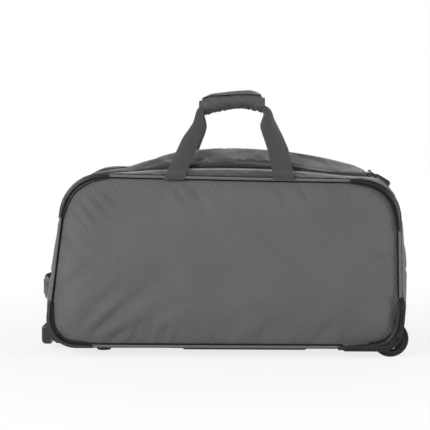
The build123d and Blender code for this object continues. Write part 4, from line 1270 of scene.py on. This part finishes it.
def wrap_skin(angles, seed):
    """Rows of points round the wrap: angle 0 is straight out to the side, 90 is the crest."""
    rows = eased(wrap_stations, wrap_rows)
    corners = []
    for x, z, tall, deep in rows:
        for a in angles:
            up, out = math.sin(a), math.cos(a)
            point = Vector((x * MM, out * deep * MM, z * MM + up * tall * MM))
            under = max(0.0, -up) * 0.9 + 0.25 * max(0.0, out) * max(0.0, 0.6 - abs(up))
            crease = noise.noise(Vector((x / 4.5 + seed, a * 0.8, seed))) * 3.0 * MM * under
            crease += noise.noise(Vector((x / 14.0, a * 1.6, seed + 4))) * 1.6 * MM
            pinch = abs(noise.noise(Vector((x / 11.0 + up * 1.5, a * 1.1, seed + 7)))) - 0.2
            crease += pinch * 3.4 * MM * max(out, 0.0)
            corners.append(point + Vector((0, out, up)) * crease)
    return rows, corners


def wrap_half(name, side):
    """One shell of the grip, with a bound and sewn hem at each end."""
    angles = np.radians(np.linspace(88.6, -88.6, 34))
    rows, corners = wrap_skin(angles, 3.0 if side == FRONT else 9.0)
    corners = [Vector((c.x, side * max(c.y, 0.35 * MM), c.z)) for c in corners]
    cloth = [(row[0] * MM, a * wrap_radius) for row in rows for a in angles]
    piece = new_piece(name, corners, grid_faces(len(rows), len(angles), flip=side == REAR), cloth)
    trims = [thickened(piece, 4.2 * MM, wrap_cloth, edge=1.3 * MM, segments=3)]
    hem_angles = np.radians(np.linspace(84, -84, 24))
    for share, label in ((0.035, "low"), (0.965, "high")):
        x, z, tall, deep = eased(wrap_stations, 201)[int(share * 200)]
        line = [(x * MM, side * math.cos(a) * deep * MM, z * MM + math.sin(a) * tall * MM) for a in hem_angles]
        outs = [(0, side * math.cos(a), math.sin(a)) for a in hem_angles]
        hem = sweep(f"{name}_hem_{label}", line, outs, [(0.1 * MM, -4.0 * MM), (0.6 * MM, -2.6 * MM), (0.8 * MM, 0),
                                                      (0.6 * MM, 2.6 * MM), (0.1 * MM, 4.0 * MM),
                                                      (-0.8 * MM, 4.0 * MM), (-0.8 * MM, -4.0 * MM)])
        trims.append(finish_of(hem, wrap_cloth))
        shift = 3.2 * MM if label == "low" else -3.2 * MM
        sewn = [(p[0] + shift, p[1] + side * math.cos(a) * 1.25 * MM, p[2] + math.sin(a) * 1.25 * MM)
                for p, a in zip(line, hem_angles)]
        trims.append(stitches(f"{name}_sewn_{label}", sewn, outs, pitch=3.2 * MM))
    return joined(name, trims)


for name, side in SIDES.items():
    placed(wrap_half(f"{name}_grip_pad", side), f"{name}_handle", [f"{name}_grip_wrap"])

# %% Flap over the grip
flap_low_edge = [(-46, 66), (-40, 58), (-28, 50), (-10, 42), (10, 38), (34, 34), (50, 36), (62, 44), (69, 58)]
wrap_core_z = 470 * MM


def grip_flap():
    """The flap over the crest. Its low edge is given as an angle round the wrap at each place along it."""
    rows = eased(wrap_stations, wrap_rows)
    edge = np.array(flap_low_edge, float)
    corners, cloth, lanes, kept = [], [], 12, []
    for x, z, tall, deep in rows:
        if not edge[0, 0] <= x <= edge[-1, 0]:
            continue
        kept.append(x)
        stop = np.interp(x, edge[:, 0], edge[:, 1])
        for a in np.radians(np.linspace(104, stop, lanes)):
            lift = 2.2 * MM + 3.2 * MM * max(0.0, 1 - (math.degrees(a) - stop) / 14)
            corners.append((x * MM, -math.cos(a) * (deep * MM + lift), z * MM + math.sin(a) * (tall * MM + lift)))
            cloth.append((x * MM, a * wrap_radius))
    piece = new_piece("grip_flap", corners, grid_faces(len(kept), lanes), cloth)
    thickened(piece, 1.7 * MM, wrap_cloth, edge=0.6 * MM)
    grid = np.array(corners).reshape(len(kept), lanes, 3)
    line = grid[1:-1, lanes - 3]
    ups = line - np.array([0, 0, wrap_core_z])
    ups[:, 0] = 0
    sewn = stitches("grip_flap_thread", line, ups, pitch=3.2 * MM, lift=0.25 * MM)
    return joined("grip_flap", [piece, sewn])


placed(grip_flap(), "front_handle")

# %% [markdown]
# ## Seam stitching on the band
# Each cross seam is top-stitched on both sides, and the opening has a row beside its folded edge. The rows follow
# the skin, a little proud of it.

# %% Topstitching
stitch_rows = []
for k, s in enumerate(every_cross_seam):
    between_arches = k == 0
    y_end, count = (arch_inner_y, 50) if between_arches else (half_depth - 4 * MM, 60)
    y = np.linspace(-y_end, y_end, count)
    for offset in (-3.6 * MM, 3.6 * MM):
        row = np.full(count, s + offset)
        stitch_rows.append(skin_thread(f"seam_thread_{k}_{offset}", row, y, seam_dip(row) + 0.5 * MM))
edge_row = track(-6.5 * MM)
stitch_rows.append(skin_thread("opening_thread", from_above(edge_row), edge_row[:, 1], 0.9 * MM))
placed(joined("band_thread", stitch_rows), "bag")
lid_row = track(lid_inset + 15 * MM, lid_rear - 6 * MM)
placed(skin_thread("lid_thread", from_above(lid_row), lid_row[:, 1], 3.9 * MM), "lid")
print("stitched rows on the band", len(stitch_rows))

# %% [markdown]
# ## End grab handle
# Below the middle of the handle end a padded strap stands off for the fingers. Its ends are sewn flat, and a band
# of webbing runs along its middle.

# %% Grab handle
grab_low, grab_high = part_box("end_grab_handle")
grab_z, grab_tall = (grab_low.z + grab_high.z) / 2, grab_high.z - grab_low.z


def grab_line(count):
    """The strap's outer line from front to rear, read from the frame's own strap."""
    tree = tree_of(["end_grab_handle"])
    points = []
    for y in np.linspace(grab_low.y + 3 * MM, grab_high.y - 3 * MM, count):
        hit = tree.ray_cast(Vector((grab_low.x - 50 * MM, y, grab_z)), Vector((1, 0, 0)), 200 * MM)
        if hit[0] is not None:
            points.append((hit[0].x, y, grab_z))
    return np.array(points)


grab_points = grab_line(48)
grab_share = np.abs(grab_points[:, 1]) / np.abs(grab_points[:, 1]).max()
grab_fat = np.clip((1 - grab_share) / 0.22, 0, 1)
half_tall = grab_tall / 2
pad_profile = [(0.2, -1.0), (1.6, -0.86), (2.0, -0.5), (2.2, 0.0), (2.0, 0.5), (1.6, 0.86), (0.2, 1.0), (-2.6, 0.98),
               (-3.4, 0.6), (-3.4, -0.6), (-2.6, -0.98)]
grab_outs = np.tile([-1.0, 0, 0], (len(grab_points), 1))
pad = sweep("grab_pad", grab_points + [2.2 * MM, 0, 0], grab_outs, [(a * MM, b * half_tall) for a, b in pad_profile],
            scales=np.stack([0.45 + 0.55 * grab_fat, 0.82 + 0.18 * grab_fat], 1))
applied(pad, "SUBSURF", levels=1, render_levels=1)
finish_of(pad, wrap_cloth)
band_points = grab_points + np.outer(1.1 * MM - 0.9 * MM * grab_fat, [1.0, 0, 0])
band = sweep("grab_band", band_points, grab_outs, [(1.1 * MM, -13 * MM), (1.3 * MM, 0), (1.1 * MM, 13 * MM),
                                                   (-0.6 * MM, 13 * MM), (-0.6 * MM, -13 * MM)])
finish_of(band, webbing_cloth)
grab_rows = []
for z in (-11.5 * MM, 11.5 * MM):
    line = band_points + [-1.25 * MM, 0, z]
    grab_rows.append(stitches(f"grab_thread_{z}", line, np.tile([-1.0, 0, 0], (len(line), 1))))
placed(joined("grab_strap", [pad, band] + grab_rows), "bag", ["end_grab_handle"])

# %% [markdown]
# ## Hard parts
# Most moulded, turned and drawn parts came with the frame in their right shape, so they keep it and only get the
# finish of their material. The housings and the kick plate are black moulded nylon, the wheels are soft rubber on
# a nylon hub, and the pull-out handle is drawn aluminium with a moulded grip. Three things are added or redrawn.
# The zip pulls lean over onto the lid. A thin wall closes the inside of each wheel well, so that the cloth behind
# isn't seen past the wheel. Each housing has a raised rim and two ribs along its inner edge.

# %% Zip pulls
tab_lean, tab_thick, tab_width = math.radians(52), 3.2 * MM, 12 * MM


def zip_tab(name):
    """A rounded moulded tab that hangs from its slider and leans over toward the front."""
    low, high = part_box(f"{name}_zip_pull")
    start, end = np.array([low.x + 1.5 * MM, high.z - 2.5 * MM]), np.array([high.x - 1 * MM, low.z + 1.5 * MM])
    run = np.linspace(0, 1, 30)
    middle = (low.y + high.y) / 2
    centres = [(x, middle, z) for x, z in start + run[:, None] * (end - start)]
    fall = end - start
    out = unit(np.array([-fall[1] * math.cos(tab_lean), FRONT * math.hypot(*fall) * math.sin(tab_lean),
                         fall[0] * math.cos(tab_lean)]))
    width = np.interp(run, [0, 0.1, 0.24, 0.36, 0.9, 0.96, 1.0], [0.34, 0.4, 0.5, 1.0, 1.0, 0.86, 0.5])
    thick = np.interp(run, [0, 0.3, 0.4, 0.94, 1.0], [0.7, 0.8, 1.0, 1.0, 0.7])
    profile = [(tab_thick / 2 * math.copysign(abs(math.sin(a)) ** 0.6, math.sin(a)),
                tab_width / 2 * math.copysign(abs(math.cos(a)) ** 0.4, math.cos(a)))
               for a in np.linspace(0, 2 * math.pi, 25)[:-1]]
    tab = sweep(f"{name}_pull_tab", centres, np.tile(out, (len(run), 1)), profile,
                scales=np.stack([thick, width], 1))
    placed(finish_of(tab, pull_rubber), f"{name}_pull", [f"{name}_zip_pull"])
    print(tab.name, "length", round(math.hypot(*fall) * 1000, 1), "mm")


for name in SIDES:
    zip_tab(name)

# %% Wheel well linings
lining_radius, lining_y, lining_floor, lining_steps = 30 * MM, 102 * MM, 16 * MM, 48


def well_lining(name, side):
    """A thin disc behind the wheel, cut off level near the floor."""
    wheel_low, wheel_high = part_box("front_wheel_tyre")
    axle = (wheel_low + wheel_high) / 2
    angles = 2 * math.pi * np.arange(lining_steps) / lining_steps
    corners = [(axle.x + lining_radius * math.cos(a), side * lining_y,
                max(axle.z + lining_radius * math.sin(a), lining_floor)) for a in angles]
    corners.append((axle.x, side * lining_y, axle.z))
    faces = [(lining_steps, k, (k + 1) % lining_steps) for k in range(lining_steps)]
    if side == REAR:
        faces = [(hub, after, k) for hub, k, after in faces]
    lining = new_piece(f"{name}_well_lining", corners, faces, [(x, z) for x, y, z in corners])
    thickened(lining, 1.0 * MM, housing_plastic)
    placed(lining, "bag")


for name, side in SIDES.items():
    well_lining(name, side)

# %% Housing rims and ribs
housing_edge = [(213, 21), (240, 22.5), (268, 24.6), (292, 28.2), (303, 33.0), (311, 40.5), (316, 50), (319, 62),
                (321, 78), (322.4, 96), (323, 112)]
housing_face = -housing_box[0].y - 2.2 * MM
ridges = [(3.0 * MM, 7.6 * MM, 1.9 * MM, 0), (9.6 * MM, 2.6 * MM, 1.2 * MM, 22),
          (13.6 * MM, 2.6 * MM, 1.0 * MM, 26)]


def housing_ridge(name, side, shift, width, rise, trim):
    """A soft raised rib that follows the housing's inner edge at the given distance outside it."""
    line, _ = evenly(np.array(housing_edge) * MM, 70)
    along = unit(np.gradient(line, axis=0))
    line = line + np.stack([along[:, 1], -along[:, 0]], 1) * shift
    line = line[trim:-2]
    taper = np.clip(np.minimum(np.arange(len(line)), np.arange(len(line))[::-1]) / 8, 0.25, 1)
    centres = [(x, side * housing_face, z) for x, z in line]
    outs = np.tile([0, side, 0], (len(line), 1))
    profile = [(rise * math.sin(a), width / 2 * math.cos(a)) for a in np.linspace(0, math.pi, 9)]
    profile += [(-2 * MM, -width / 2), (-2 * MM, width / 2)]
    rib = sweep(name, centres, outs, profile, scales=np.stack([taper, np.ones(len(line))], 1))
    return finish_of(rib, housing_plastic)


for name, side in SIDES.items():
    ribs = [housing_ridge(f"{name}_housing_rib_{k}", side, *ridge) for k, ridge in enumerate(ridges)]
    placed(joined(f"{name}_housing_rim", ribs), "bag")

# %% Finishes of the frame's own parts
hard_finish = {
    "wheel_housing": housing_plastic, "wheel_tyre": tyre_rubber, "wheel_hub": hub_plastic, "wheel_bearings": steel,
    "wheel_axle": steel, "skid_rail": housing_plastic, "foot": foot_rubber, "kick_plate": housing_plastic,
    "base_board": board_plastic, "trolley_socket": housing_plastic, "trolley_grip": grip_plastic,
    "trolley_button": guard_rubber, "trolley_bracket": board_plastic, "trolley_tunnel": lining_cloth,
    "outer_tube": tube_metal, "inner_tube": tube_metal, "zip_slider": slider_metal, "zip_pull": pull_rubber,
}
for node, piece in frame["nodes"].items():
    if piece.hide_render:
        continue
    found = [material for part, material in hard_finish.items() if node.endswith(part)]
    if found:
        finish_of(piece, found[0])
    else:
        print("no finish for", node)

# %% [markdown]
# ## Stage, light and camera
# The light is a large soft source in front and above, weaker ones at both ends and behind, and a pale room all
# round. The floor is nearly white and takes a faint shadow where the wheels and feet touch it. The camera is a
# long lens a few degrees above the bag's middle and a little to its wheel side.

# %% Stage
floor = new_piece("floor", [(-6, -6, 0), (6, -6, 0), (6, 6, 0), (-6, 6, 0)], [(0, 1, 2, 3)])
floor_paint, nodes, links, shader = new_material("floor_paint")
shader.inputs["Base Color"].default_value = (0.86, 0.86, 0.86, 1)
shader.inputs["Roughness"].default_value = 0.95
shader.inputs["Specular IOR Level"].default_value = 0.0
glow, mix = nodes.new("ShaderNodeEmission"), nodes.new("ShaderNodeMixShader")
rays = nodes.new("ShaderNodeLightPath")
spot = nodes.new("ShaderNodeTexCoord").outputs["Object"]
reach = nodes.new("ShaderNodeVectorMath")
reach.operation = "LENGTH"
links.new(spot, reach.inputs[0])
fade = nodes.new("ShaderNodeMapRange")
fade.inputs["From Min"].default_value, fade.inputs["From Max"].default_value = 0.45, 1.1
fade.inputs["To Min"].default_value, fade.inputs["To Max"].default_value = 0.8, 1.0
links.new(reach.outputs["Value"], fade.inputs["Value"])
seen = math_node(nodes, links, "MAXIMUM", rays.outputs["Is Camera Ray"], rays.outputs["Is Glossy Ray"])
links.new(math_node(nodes, links, "MULTIPLY", seen, fade.outputs[0]), mix.inputs[0])
glow.inputs["Strength"].default_value = 1.0
links.new(shader.outputs[0], mix.inputs[1])
links.new(glow.outputs[0], mix.inputs[2])
links.new(mix.outputs[0], nodes["Material Output"].inputs["Surface"])
finish_of(floor, floor_paint)
floor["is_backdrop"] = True

world = bpy.data.worlds.new("studio")
bpy.context.scene.world = world
world.use_nodes = True
nodes, links = world.node_tree.nodes, world.node_tree.links
rays = nodes.new("ShaderNodeLightPath")
room, backdrop, mix = nodes["Background"], nodes.new("ShaderNodeBackground"), nodes.new("ShaderNodeMixShader")
room.inputs["Color"].default_value = (0.97, 0.98, 1.0, 1)
room.inputs["Strength"].default_value = 0.30
backdrop.inputs["Color"].default_value = (1, 1, 1, 1)
backdrop.inputs["Strength"].default_value = 1.0
seen = math_node(nodes, links, "MAXIMUM", rays.outputs["Is Camera Ray"], rays.outputs["Is Transmission Ray"])
links.new(seen, mix.inputs[0])
links.new(room.outputs[0], mix.inputs[1])
links.new(backdrop.outputs[0], mix.inputs[2])
links.new(mix.outputs[0], nodes["World Output"].inputs["Surface"])


def soft_box(name, place, aim, size, power):
    """A rectangular lamp that points at a place."""
    data = bpy.data.lights.new(name, "AREA")
    data.shape, data.size, data.size_y, data.energy = "RECTANGLE", size[0], size[1], power
    lamp = bpy.data.objects.new(name, data)
    lamp.location = place
    lamp.rotation_euler = (Vector(aim) - Vector(place)).to_track_quat("-Z", "Y").to_euler()
    bpy.context.scene.collection.objects.link(lamp)


soft_box("key", (-1.7, -2.5, 1.4), (0, 0, 0.2), (1.0, 1.0), 70)
soft_box("side", (2.4, -0.5, 0.8), (0.2, 0, 0.2), (1.0, 1.4), 34)
soft_box("handle_side", (-2.5, -0.2, 0.8), (-0.2, 0, 0.2), (0.9, 1.3), 18)
soft_box("back", (0.6, 2.4, 1.8), (0, 0, 0.3), (1.6, 1.0), 20)
bpy.context.scene.view_settings.view_transform = "Standard"

# %% Camera
camera_data = bpy.data.cameras.new("camera")
camera_data.sensor_width, camera_data.lens = 36.0, 153.89
camera_data.clip_end = 50
camera = bpy.data.objects.new("camera", camera_data)
azimuth, elevation = math.radians(2.0), math.radians(4.0)
back = Vector((math.sin(azimuth) * math.cos(elevation), -math.cos(azimuth) * math.cos(elevation),
               math.sin(elevation)))
camera.location = Vector((-21 * MM, 0, 254.7 * MM)) + back * 3.565
camera.rotation_euler = (-back).to_track_quat("-Z", "Y").to_euler()
bpy.context.scene.collection.objects.link(camera)
bpy.context.scene.camera = camera

# %% Size of the finished piece
low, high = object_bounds()
print("visual box", [round(v, 4) for v in low], [round(v, 4) for v in high])
